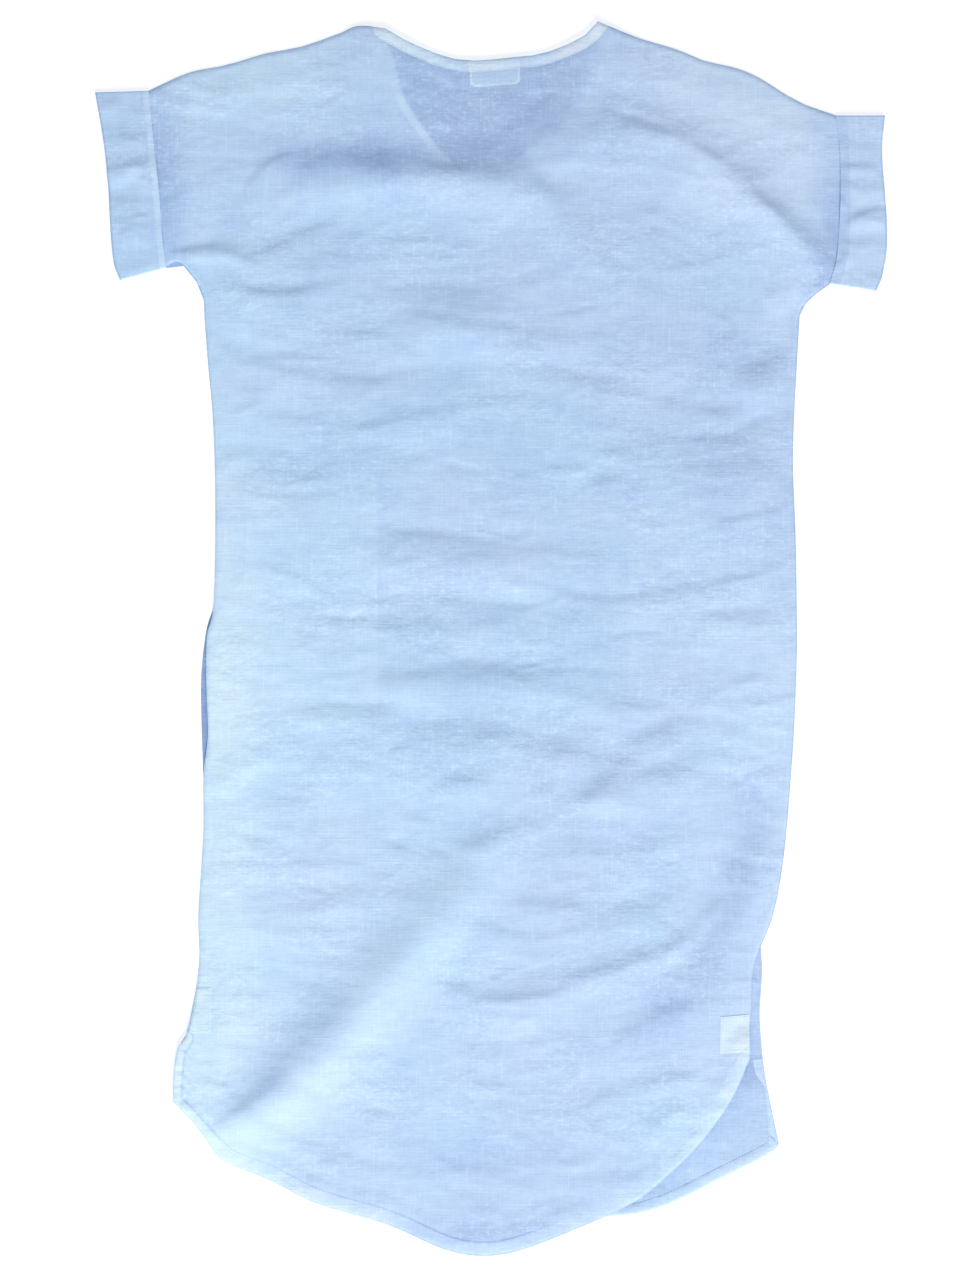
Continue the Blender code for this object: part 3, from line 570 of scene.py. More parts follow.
def covered(points, outline, reach):
    """1 over the outline and as far as reach past it, falling to 0 past that."""
    return fading(-depth_in(points, outline) - reach, COVER_FADE)


# Outlines of the pieces


def back_left():
    body = [Point(s.left, s.y) for s in BACK_SIDES]
    return through([LEFT_UNDERARM[-1], *body, *LEFT_VENT_EDGE])


def back_right():
    body = [Point(s.right, s.y) for s in BACK_SIDES]
    return through([RIGHT_UNDERARM[-1], *body, RIGHT_VENT_TOP])


def front_left():
    """From the underarm along the pocket's mouth to the end of the left vent."""
    line = back_left()
    above = line[line[:, 1] > POCKET_MOUTH[0].y]
    below = line[(line[:, 1] < POCKET_MOUTH[-1].y) & (line[:, 1] > FRONT_LEFT_VENT[-1].y)]
    return np.vstack([above, through(POCKET_MOUTH), below, through(FRONT_LEFT_VENT)[::-1]])


def front_right():
    line = back_right()
    return np.vstack([line[line[:, 1] > FRONT_RIGHT[0].y], through(FRONT_RIGHT)])


def v_halves():
    """The front's neck edge, from the left neck point to the V's tip and up to the right."""
    tip = straight([V_TIP])
    return np.vstack([through(V_LEFT), tip]), np.vstack([tip, through(V_RIGHT)])


def v_line():
    return joined(*v_halves())


def front_free_lines():
    """The front's free edge: beside the right vent, along the hem and beside the left vent."""
    vent = through(FRONT_RIGHT)
    return vent[vent[:, 1] < RIGHT_VENT_TOP.y], through(FRONT_HEM), through(FRONT_LEFT_VENT[:3])


# Grids


def falling(line, window):
    """The line with y values that fall all the way, so that a grid's rows keep their order
    where a side turns back on itself under the arm."""
    y = np.minimum.accumulate(line[:, 1])
    padded = np.pad(y, window, mode="edge")
    smooth = np.convolve(padded, np.ones(2 * window + 1) / (2 * window + 1), mode="valid")
    smooth[0], smooth[-1] = y[0], y[-1]
    return np.column_stack([line[:, 0], smooth])


def moved_in(line, width, fine):
    """The line without its ends, moved to its right by the width. Its ways are taken at the
    spacing of the solids' grid, so that it doesn't cross itself at a corner."""
    inner = line[1:-1]
    coarse = left_normals(np.vstack([line[:1], inner[::fine], line[-1:]]))[1:-1]
    where = np.arange(len(inner)) / fine
    normals = np.column_stack(
        [np.interp(where, np.arange(len(coarse)), coarse[:, k]) for k in range(2)]
    )
    return inner - width * normals


def with_rings(grid, axis):
    """The grid with more lines inside the first and the last row or column of cells."""
    rows = np.moveaxis(grid, axis, 0)
    shares = np.array(RING_SHARES)[:, None, None]
    before = rows[0] * (1 - shares) + rows[1] * shares
    after = rows[-1] * (1 - shares[::-1]) + rows[-2] * shares[::-1]
    return np.moveaxis(np.concatenate([rows[:1], before, rows[1:-1], after, rows[-1:]]), 0, axis)


def blended(top, bottom, left, right):
    """A grid between four lines that meet at their ends."""
    u = np.linspace(0, 1, len(top))[None, :, None]
    v = np.linspace(0, 1, len(left))[:, None, None]
    down = (1 - v) * top[None] + v * bottom[None]
    across = (1 - u) * left[:, None] + u * right[:, None]
    upper, lower = ((1 - u) * line[0] + u * line[-1] for line in (top, bottom))
    return down + across - (1 - v) * upper - v * lower


def bordered_grid(top, bottom, left, right, widths, across, down):
    """Places between four lines that run rightwards or downwards. The border keeps its
    widths, and the rest is blended between the four lines inside it."""
    grid = np.zeros((len(left), len(top), 2))
    grid[0], grid[-1] = top, bottom
    grid[:, 0], grid[:, -1] = left, right
    upper = moved_in(top, widths[0], across)
    lower = moved_in(bottom, -widths[1], across)
    nearer = moved_in(left, -widths[2], down)
    farther = moved_in(right, widths[3], down)
    for line, end in ((upper, 0), (lower, -1)):
        for side, corner in ((nearer, 0), (farther, -1)):
            line[corner] = side[end] = (line[corner] + side[end]) / 2
    grid[1:-1, 1:-1] = blended(upper, lower, falling(nearer, down), falling(farther, down))
    return with_rings(with_rings(grid, 0), 1)


def panel_grid(neck_lines, hem, bodies, counts, widths):
    """The fine grid of the back or the front. bodies are its sides below the underarms, and
    widths those of its border above, below, on the left and on the right."""
    across, down = counts.across, counts.down
    shoulders = [
        finely(through(line), counts.shoulder, across, first=widths[2])
        for line in (LEFT_SHOULDER, RIGHT_SHOULDER)
    ]
    neck = [finely(line, counts.neck, across) for line in neck_lines]
    top = joined(shoulders[0], *neck, shoulders[1][::-1])
    bottom = spaced(hem, len(top) - 1, first=widths[1], last=widths[3])
    seams, underarms = (LEFT_CUFF_SEAM, RIGHT_CUFF_SEAM), (LEFT_UNDERARM, RIGHT_UNDERARM)
    sides = [
        joined(
            finely(through(seam), counts.sleeve, down, first=widths[0]),
            finely(through(underarm), counts.underarm, down),
            finely(body, counts.side, down, last=widths[1]),
        )
        for seam, underarm, body in zip(seams, underarms, bodies, strict=True)
    ]
    return bordered_grid(top, bottom, *sides, widths, across, down)


# Heights


def fold_height(points, folds):
    """How far the folds raise the cloth at these places."""
    raised = np.zeros(len(points))
    for fold in folds:
        start = np.array([fold.x1, fold.y1])
        chord = np.array([fold.x3, fold.y3]) - start
        length = np.linalg.norm(chord)
        way = chord / length
        to_right = np.array([way[1], -way[0]])
        middle = np.array([fold.x2, fold.y2]) - start
        middle_at = middle @ way / length
        bulge = middle @ to_right / (middle_at * (1 - middle_at))
        run = (points - start) @ way / length
        reach = 3 * max(fold.steep, fold.soft) + abs(bulge)
        aside = (points - start) @ to_right
        close = (run > -FOLD_OVERRUN) & (run < 1 + FOLD_OVERRUN) & (abs(aside) < reach)
        run, aside = run[close], aside[close]
        on_arc = np.clip(run, 0, 1)
        past_crest = aside - bulge * on_arc * (1 - on_arc) - fold.steep
        width = np.where(past_crest < 0, fold.steep, fold.soft)
        across = bell(past_crest, width)
        begun = smoothstep((run + FOLD_OVERRUN) / FOLD_TAPER)
        unfinished = smoothstep((1 + FOLD_OVERRUN - run) / FOLD_TAPER)
        raised[close] += fold.height * across * begun * unfinished
    return raised


def rolled_lines():
    """The back's edges that end in a fold or a seam with the front: left, top and right."""
    return [
        joined(through(LEFT_UNDERARM), back_left()),
        joined(through(LEFT_SHOULDER), through(BACK_NECK), through(RIGHT_SHOULDER)[::-1]),
        joined(through(RIGHT_UNDERARM), back_right()),
    ]


def free_line():
    """The back's hem with the edge beside the left vent."""
    left = back_left()
    return joined(left[left[:, 1] < LEFT_VENT_EDGE[0].y], through(BACK_HEM))


def ripple(run, waves):
    """A sum of waves (length, size, phase) along a line."""
    return sum(size * np.sin(2 * np.pi * run / length + phase) for length, size, phase in waves)


class Lie:
    """Heights of the back's upper face."""

    def __init__(self):
        self.hem = through(BACK_HEM)
        self.neck = through(BACK_NECK)
        self.rolled = rolled_lines()
        self.cuffs = [through(LEFT_CUFF_SEAM), through(RIGHT_CUFF_SEAM)]
        self.free = free_line()
        self.trims = [
            np.vstack([line, (line - width * mitred_normals(line))[::-1]])
            for line, width in (
                (joined(*front_free_lines()), FRONT_HEM_WIDTH),
                (v_line(), V_FACING_WIDTH),
            )
        ]
        self.bags = [straight(LEFT_BAG), straight(RIGHT_BAG)]
        self.crumples = crumples()

    def solid(self, points, from_sewn, from_hem, from_neck, from_free):
        """Height of the back's upper face without its small creases, and its lowest height."""
        loose = smoothstep(from_sewn / LOFT_RAMP)
        loose = loose * (HEM_SHARE + (1 - HEM_SHARE) * smoothstep(from_hem / LOFT_RAMP))
        trim, bag = TRIM_WALL + GAP, BAG_WALL + GAP
        layers = [trim * covered(points, outline, COVER_REACH) for outline in self.trims]
        layers += [bag * covered(points, outline, COVER_REACH) for outline in self.bags]
        between = np.max(layers, axis=0)
        own = np.maximum(
            fading(from_neck - NECK_FACING_WIDTH - OWN_REACH, COVER_FADE),
            fading(from_free - HEM_WIDTH - OWN_REACH, COVER_FADE),
        )
        base = 2 * WALL + GAP + between + trim * own
        lowest = BACK_LOW + between + OWN_LAYERS * own
        return base + loose * (LOFT + fold_height(points, FOLDS)), lowest

    def heights(self, points):
        from_hem = distance(points, self.hem)
        from_neck, neck_run = nearest(points, self.neck)
        from_rolled = distance(points, *self.rolled)
        from_cuffs = distance(points, *self.cuffs)
        from_sewn = np.minimum(from_rolled, from_cuffs)
        from_free, free_run = nearest(points, self.free)
        top, lowest = self.solid(points, from_sewn, from_hem, from_neck, from_free)
        small = fold_height(points, CREASES) + fold_height(points, self.crumples)
        inwards = np.minimum(from_sewn, from_free) - CREASE_MARGIN
        top = top + smoothstep(inwards / CREASE_RAMP) * small
        top = lowest + SETTLING * np.logaddexp(0, (top - lowest) / SETTLING)
        for far, run, width, waves, (flat, fade) in (
            (from_free, free_run, HEM_WIDTH, HEM_PUCKERS, HEM_PUCKER_END),
            (from_neck, neck_run, NECK_FACING_WIDTH, NECK_PUCKERS, NECK_PUCKER_END),
        ):
            top += smoothstep(far / PUCKER_RISE) * fading(far - flat, fade) * ripple(run, waves)
            top -= STITCH_DIP * bell(far - STITCH_SHARE * width, STITCH_DIP_WIDTH)
        top -= SEAM_DIP * fading(from_cuffs, SEAM_DIP_WIDTH) ** 2
        edge = np.minimum(from_rolled, from_free)
        at_layers = np.minimum(from_neck, from_free) < 1 + edge
        drop = np.where(at_layers, TURNED_ROLL, SEAM_ROLL)
        width = np.where(at_layers, TURNED_ROLL_WIDTH, ROLL_WIDTH)
        return top - drop * fading(edge, width) ** 2


def crumples():
    """Small creases all over, most of them nearly level."""
    random = np.random.default_rng(CRUMPLE_SEED)
    made = []
    for _ in range(CRUMPLE_COUNT):
        x, y = random.uniform(-310, 310), random.uniform(-560, 560)
        length = random.uniform(14, 62)
        angle = random.normal(0, 0.3) + (np.pi if random.random() < 0.45 else 0)
        half = length / 2 * np.array([np.cos(angle), np.sin(angle)])
        bend = random.normal(0, 0.08) * np.array([-half[1], half[0]])
        height = random.uniform(0.15, 0.62) * random.choice([-1, 1])
        a, b, c = (x, y) - half, (x, y) + bend, (x, y) + half
        made.append(Fold(*a, *b, *c, height, random.uniform(2.2, 5), random.uniform(4, 11)))
    return made


# Making meshes


def grid_faces(rows, columns):
    corner = np.arange(rows * columns).reshape(rows, columns)
    cells = np.stack([corner[:-1, :-1], corner[1:, :-1], corner[1:, 1:], corner[:-1, 1:]], axis=-1)
    return cells.reshape(-1, 4)


def placed(name, data):
    obj = bpy.data.objects.new(name, data)
    bpy.context.scene.collection.objects.link(obj)
    return obj


def mesh_from(name, verts, faces):
    """verts in millimetres."""
    faces = faces.tolist() if isinstance(faces, np.ndarray) else faces
    mesh = bpy.data.meshes.new(name)
    mesh.from_pydata((np.asarray(verts) * MM).tolist(), [], faces)
    mesh.shade_smooth()
    mesh.set_sharp_from_angle(angle=SHARP)
    return placed(name, mesh)


def selected(count, step):
    """Every step-th line of a fine grid, and all of those in its borders."""
    border = len(RING_SHARES) + 1
    inner = range(border, count - border, step)
    return [*range(border), *inner, *range(count - border, count)]


def cloth_shell(name, grid, heights, steps):
    """A shell of cloth below the given upper face. Its lower face has only the lines of the
    grid that are a step apart, and it keeps below the small creases of the upper one."""
    rows, columns = heights.shape
    upper = np.dstack([grid, heights]).reshape(-1, 3)
    kept_rows, kept_columns = selected(rows, steps[0]), selected(columns, steps[1])
    lower = heights[np.ix_(kept_rows, kept_columns)]
    for r, row in enumerate(kept_rows[1:-1], 1):
        for c, column in enumerate(kept_columns[1:-1], 1):
            near_rows = heights[max(0, row - steps[0]) : row + steps[0] + 1]
            near = near_rows[:, max(0, column - steps[1]) : column + steps[1] + 1]
            lower[r, c] = near.min()
    lower = np.maximum(lower - CLOTH, 0.0)
    below = np.dstack([grid[np.ix_(kept_rows, kept_columns)], lower]).reshape(-1, 3)
    faces = grid_faces(rows, columns).tolist()
    below_faces = grid_faces(*lower.shape)[:, ::-1] + len(upper)
    top = np.arange(rows * columns).reshape(rows, columns)
    bottom = np.arange(lower.size).reshape(lower.shape) + len(upper)
    rim = []
    for fine, coarse, kept, turned in (
        (top[0], bottom[0], kept_columns, True),
        (top[-1], bottom[-1], kept_columns, False),
        (top[:, 0], bottom[:, 0], kept_rows, False),
        (top[:, -1], bottom[:, -1], kept_rows, True),
    ):
        for k in range(len(kept) - 1):
            face = [coarse[k], coarse[k + 1], *fine[kept[k] : kept[k + 1] + 1][::-1]]
            rim.append([int(v) for v in (face[::-1] if turned else face)])
    obj = mesh_from(name, np.vstack([upper, below]), faces + below_faces.tolist() + rim)
    smooth = np.arange(len(obj.data.polygons)) < len(faces) + len(below_faces)
    obj.data.polygons.foreach_set("use_smooth", smooth)
    return obj


def thin_shell(name, upper, faces, thickness):
    """A shell of this thickness below an upper face."""
    lower = upper - np.array([0.0, 0.0, thickness])
    sides = np.concatenate([faces[:, [k, (k + 1) % 4]] for k in range(4)])
    pairs = {tuple(pair) for pair in sides.tolist()}
    border = np.array([pair for pair in sides.tolist() if tuple(pair[::-1]) not in pairs])
    rim = np.column_stack([border[:, ::-1], border + len(upper)])
    below = faces[:, ::-1] + len(upper)
    return mesh_from(name, np.vstack([upper, lower]), np.vstack([faces, below, rim]))


def cloth_piece(name, grid, heights, thickness=CLOTH):
    """A shell below the given upper face."""
    rows, columns = heights.shape
    upper = np.dstack([grid, heights]).reshape(-1, 3)
    return thin_shell(name, upper, grid_faces(rows, columns), thickness)


def part_of_grid(name, grid, heights, wanted, thickness):
    """A shell over those cells of a grid that are wanted."""
    rows, columns = heights.shape
    faces = grid_faces(rows, columns)[wanted.ravel()]
    used, where = np.unique(faces, return_inverse=True)
    upper = np.dstack([grid, heights]).reshape(-1, 3)[used]
    return thin_shell(name, upper, where.reshape(faces.shape), thickness)


def strip_piece(name, line, offsets, heights):
    """A shell along the line. offsets are distances to its right, the same all along or
    with a row for each point of the line, as heights has."""
    normals = mitred_normals(line)
    offsets = np.broadcast_to(offsets, heights.shape)
    grid = line[:, None] - offsets[:, :, None] * normals[:, None]
    return cloth_piece(name, grid[::-1], heights[::-1], FACING_SHEET)


def stitches(name, runs):
    """One mesh of small beads of thread. runs are lines of places (x, y, z)."""
    n = len(STITCH_ANGLES)
    verts, faces = [], []
    for line in runs:
        centres = at(line, np.arange(STITCH_PITCH / 2, lengths(line)[-1], STITCH_PITCH))
        ways = np.gradient(centres, axis=0)
        ways /= np.linalg.norm(ways, axis=1)[:, None]
        for centre, way in zip(centres, ways, strict=True):
            aside = np.array([-way[1], way[0], 0.0])
            aside /= np.linalg.norm(aside)
            up = np.cross(way, aside)
            first = len(verts)
            for share, size in STITCH_FORM:
                middle = centre + way * share * STITCH_LENGTH / 2
                for angle in STITCH_ANGLES:
                    out = np.cos(angle) * aside + np.sin(angle) * up
                    verts.append(middle + out * STITCH_RADIUS * size)
            for ring in range(first, first + 3 * n, n):
                for k in range(n):
                    a, b = ring + k, ring + (k + 1) % n
                    faces.append((a, b, b + n, a + n))
            faces.append(tuple(range(first, first + n))[::-1])
            faces.append(tuple(range(first + 3 * n, first + 4 * n)))
    return mesh_from(name, verts, faces)


def seen_places(obj):
    """Where the mesh's vertices are, seen from above, in millimetres."""
    flat = np.zeros(3 * len(obj.data.vertices))
    obj.data.vertices.foreach_get("co", flat)
    return flat.reshape(-1, 3)[:, :2] / MM


def note(obj, **fields):
    """Keeps numbers for each vertex, mostly distances in millimetres, for the material."""
    for name, values in fields.items():
        field = obj.data.attributes.new(name, "FLOAT", "POINT")
        field.data.foreach_set("value", np.asarray(values, np.float32).ravel())


def finish_piece(obj, material, node, flat, share=STRIP_SHARE):
    """flat is the width and length of the cut in millimetres, and share is how much of
    that rectangle the cloth fills; neither is used."""
    obj.data.materials.append(material)
    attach(obj, "root")
    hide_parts(node)


# Materials


class Nodes:
    """A material's nodes. Each call adds one or more and returns an output."""

    def __init__(self, name):
        self.material = bpy.data.materials.new(name)
        self.material.use_nodes = True
        self.tree = self.material.node_tree
        self.shader = self.tree.nodes["Principled BSDF"]

    def new(self, kind):
        """Adds a node of this kind."""
        return self.tree.nodes.new("ShaderNode" + kind)

    def fed(self, node, output, inputs):
        """Gives a node its inputs, by name or number, and returns one of its outputs."""
        for name, value in inputs.items():
            if isinstance(value, bpy.types.NodeSocket):
                self.tree.links.new(value, node.inputs[name])
            else:
                node.inputs[name].default_value = value
        return node.outputs[output]

    def math(self, operation, *values):
        """One operation on numbers."""
        node = self.new("Math")
        node.operation = operation
        return self.fed(node, 0, dict(enumerate(values)))

    def vectors(self, operation, *values):
        """One operation on places or colours."""
        node = self.new("VectorMath")
        node.operation = operation
        return self.fed(node, 0, dict(enumerate(values)))

    def add(self, total, *values):
        for value in values:
            total = self.math("ADD", total, value)
        return total

    def times(self, total, *values):
        for value in values:
            total = self.math("MULTIPLY", total, value)
        return total

    def sum_of(self, *products):
        """The sum of some products, each given by its factors."""
        return self.add(*[self.times(*factors) for factors in products])

    def rest(self, value):
        return self.math("SUBTRACT", 1.0, value)

    def step(self, value, low, high):
        """0 below low and 1 above high, smooth between."""
        node = self.new("MapRange")
        node.interpolation_type = "SMOOTHSTEP"
        return self.fed(node, "Result", {"Value": value, "From Min": low, "From Max": high})

    def less(self, value, low, high):
        """1 below low and 0 above high, smooth between."""
        return self.rest(self.step(value, low, high))

    def band(self, value, low, high, soft):
        """1 between low and high, with soft edges."""
        rise = self.step(value, low - soft, low + soft)
        return self.math("SUBTRACT", rise, self.step(value, high - soft, high + soft))

    def place(self):
        return self.new("TexCoord").outputs["Object"]

    def right_and_up(self, place):
        node = self.new("SeparateXYZ")
        self.fed(node, 0, {0: place})
        return node.outputs["X"], node.outputs["Y"]

    def kept(self, name):
        """A number kept for each vertex."""
        node = self.new("Attribute")
        node.attribute_name = name
        return node.outputs["Fac"]

    def moved(self, place, by, amount):
        """The place, moved by as much as a colour says."""
        centred = self.vectors("SUBTRACT", by, (0.5, 0.5, 0.5))
        return self.vectors("MULTIPLY_ADD", centred, (amount, amount, 0), place)

    def noise(self, place, per_x, per_y, detail, shift=0.0, output="Fac", kind="FBM"):
        """Noise with this many lumps to a metre each way."""
        scaled = self.fed(
            self.new("Mapping"), 0,
            {"Vector": place, "Scale": (per_x, per_y, 1), "Location": (shift, shift, 0)},
        )
        node = self.new("TexNoise")
        node.noise_dimensions = "2D"
        node.noise_type = kind
        return self.fed(node, output, {"Vector": scaled, "Scale": 1.0, "Detail": detail})

    def threads(self, place, direction, per_metre):
        node = self.new("TexWave")
        node.wave_type = "BANDS"
        node.bands_direction = direction
        scale = per_metre / (10 / math.pi) / 2
        return self.fed(node, "Fac", {"Vector": place, "Scale": scale, "Distortion": 0.0})

    def ramp(self, value, stops):
        node = self.new("ValToRGB")
        elements = node.color_ramp.elements
        while len(elements) < len(stops):
            elements.new(0.5)
        for element, (where, colour) in zip(elements, stops, strict=True):
            element.position = where
            element.color = (*colour, 1.0)
        return self.fed(node, "Color", {"Fac": value})

    def bumps(self, *layers):
        """The normal raised by layers of (height, distance), one on another."""
        normal = {}
        for height, far in layers:
            inputs = {"Strength": 1.0, "Distance": far, "Height": height, **normal}
            normal = {"Normal": self.fed(self.new("Bump"), "Normal", inputs)}
        return normal["Normal"]


def screen(red, green, blue):
    """A colour as the screen shows it (0 to 255), in linear light."""
    shares = np.array([red, green, blue]) / 255
    return tuple(np.where(shares > 0.04045, ((shares + 0.055) / 1.055) ** 2.4, shares / 12.92))


LINEN_STOPS = [
    (0.0, screen(126, 151, 194)),
    (0.25, screen(157, 183, 221)),
    (0.5, screen(185, 213, 245)),
    (0.75, screen(205, 231, 254)),
    (1.0, screen(226, 245, 255)),
]
LINEN_TONE = 0.57  # place on that ramp of two plain layers
FRONT_TONE = LINEN_TONE - 0.08
RIGHT_CUFF_TONE = 0.62
LEFT_CUFF_TONE = RIGHT_CUFF_TONE - 0.05
TURNED_TONE = 0.8
STRIP_TONE = TURNED_TONE - 0.12
PATCH_TONE = TURNED_TONE + 0.16
LABEL_TONE = 0.9
THREAD_TONE = 0.74
LINEN_ROUGHNESS = 0.9
LINEN_SPECULAR = 0.2
LINEN_SHEEN = 0.06
SHEEN_ROUGHNESS = 0.5
THREADS_PER_METRE = 1500
THREAD_WANDER = 0.004  # metres
CRUMPLE_RELIEF = 0.001  # heights of the relief that only the shading has, in metres
RIDGE_RELIEF = 0.001
CRINKLE_RELIEF = 0.0009
THREAD_RELIEF = 0.00004
SLUB_RELIEF = 1.5  # of a thread's
LILAC = (1.045, 0.978, 0.975)
AQUA = (0.985, 1.0, 0.995)
TINT_STOPS = [(0.32, AQUA), (0.68, LILAC)]
LINEN_LILAC = -0.08  # how far all of it is moved towards lilac
PATCH_LILAC = -0.3
# The tint's drift by place is a painted colour cast of the light
TINT_DRIFT = 0.6  # how fast it goes from aqua to lilac, for each metre to the right
TINT_ENDS = 0.5  # and for each metre up or down from the middle
TINT_MIDDLE = 0.05  # how far below the origin that middle is
TONE_NOISE = [
    # lumps to a metre right and up, detail, shift and share in the tone
    (34, 640, 2, 0.0, 0.1),  # weft
    (640, 34, 2, 3.1, 0.12),  # warp
    (110, 1300, 1, 5.3, 0.07),
    (1300, 110, 1, 9.9, 0.09),
    (17, 24, 4, 21.0, 0.2),  # clouds
    (75, 90, 3, 27.0, 0.12),  # mottling
]


def linen(name, tone, shows=None, lilac=LINEN_LILAC):
    """Slubby plain-weave linen. shows adds what lies under it and painted light and shade."""
    n = Nodes(name)
    place = n.place()
    place = n.moved(place, n.noise(place, 5, 5, 1, output="Color"), THREAD_WANDER)
    total = tone
    for per_x, per_y, detail, shift, amount in TONE_NOISE:
        value = n.noise(place, per_x, per_y, detail, shift)
        total = n.add(total, n.times(n.math("SUBTRACT", value, 0.5), amount))
    weft_slubs = n.step(n.noise(place, 22, 420, 1, 7.7), 0.62, 0.8)
    warp_slubs = n.step(n.noise(place, 420, 22, 1, 12.3), 0.62, 0.8)
    # Painted glints: bright flecks painted as highlights on the crinkles where the cloth is crushed
    painted_glints = n.step(n.noise(place, 190, 280, 2, 91.0), 0.54, 0.72)
    crushed = n.step(n.noise(place, 11, 15, 2, 81.0), 0.36, 0.66)
    crushed = n.times(n.add(0.25, n.times(crushed, 0.75)), n.rest(n.kept("smooth")))
    total = n.add(total, n.times(weft_slubs, 0.06), n.times(warp_slubs, 0.07))
    # Painted glints where the cloth is crushed, and the crushed cloth a little darker
    total = n.add(total, n.times(painted_glints, crushed, 0.13), n.times(crushed, -0.02))
    if shows:
        total = n.add(total, shows(n))

    # The tint drifts by place as a painted colour cast of the light: more lilac to the right, up,
    # down and in the painted shade low on the right, more aqua further down on the right, with
    # random clouds
    right, up = n.right_and_up(place)
    from_middle = n.math("ABSOLUTE", n.add(up, TINT_MIDDLE))
    low_right = n.times(n.step(right, 0.08, 0.18), n.less(up, -0.4, -0.34))
    drift = n.sum_of((right, TINT_DRIFT), (from_middle, TINT_ENDS), (low_right, -0.2))
    drift = n.add(n.noise(place, 5, 7, 3, 51.0), drift, n.kept("lilac"), lilac)
    tint = n.ramp(drift, TINT_STOPS)

    slubs = n.times(n.add(weft_slubs, warp_slubs), SLUB_RELIEF)
    threads = [n.threads(place, direction, THREADS_PER_METRE) for direction in "XY"]
    ridges = n.noise(place, 15, 42, 2, 71.0, kind="RIDGED_MULTIFRACTAL")
    crinkle = n.noise(place, 60, 100, 2, 61.0)
    relief = n.bumps(
        (n.noise(place, 34, 52, 5, 41.0), CRUMPLE_RELIEF),
        (n.times(ridges, crushed), RIDGE_RELIEF),
        (n.times(crinkle, crushed), CRINKLE_RELIEF),
        (n.add(*threads, slubs), THREAD_RELIEF),
    )
    look = {
        "Base Color": n.vectors("MULTIPLY", n.ramp(total, LINEN_STOPS), tint),
        "Normal": relief,
        "Roughness": LINEN_ROUGHNESS,
        "Specular IOR Level": LINEN_SPECULAR,
        "Sheen Weight": LINEN_SHEEN,
        "Sheen Roughness": SHEEN_ROUGHNESS,
    }
    n.fed(n.shader, 0, look)
    return n.material


def shaded_by_back(n):
    """Darker places of the front, close under the back's edge."""
    right, up = n.right_and_up(n.place())
    above = n.times(n.step(up, -0.395, -0.385), n.step(right, 0.1, 0.2))
    apex = n.less(n.kept("from_apex"), 4, 46)
    in_pocket = n.times(n.step(up, -0.2, -0.1), n.less(right, -0.2, -0.1))
    return n.sum_of((apex, n.rest(above), -0.18), (above, -0.02), (in_pocket, -0.34))


def painted_shade_on_strip(n):
    """Painted shade in the mitre's groove and along the rim."""
    groove = n.less(n.kept("from_mitre"), 0.5, 1.6)
    return n.sum_of((groove, -0.35), (n.less(n.kept("from_line"), 0.4, 1.6), -0.12))


def shown_on_cuff(n):
    """The seam's turned layers, and the thin shaded edges."""
    right, _ = n.right_and_up(n.place())
    seam = n.less(n.kept("from_seam"), 0.9, 1.15)
    by_side = n.add(n.times(n.less(right, -0.1, 0.1), 0.26), -0.12)
    return n.sum_of((seam, by_side), (n.less(n.kept("from_hand"), 0.8, 2.2), -0.2))


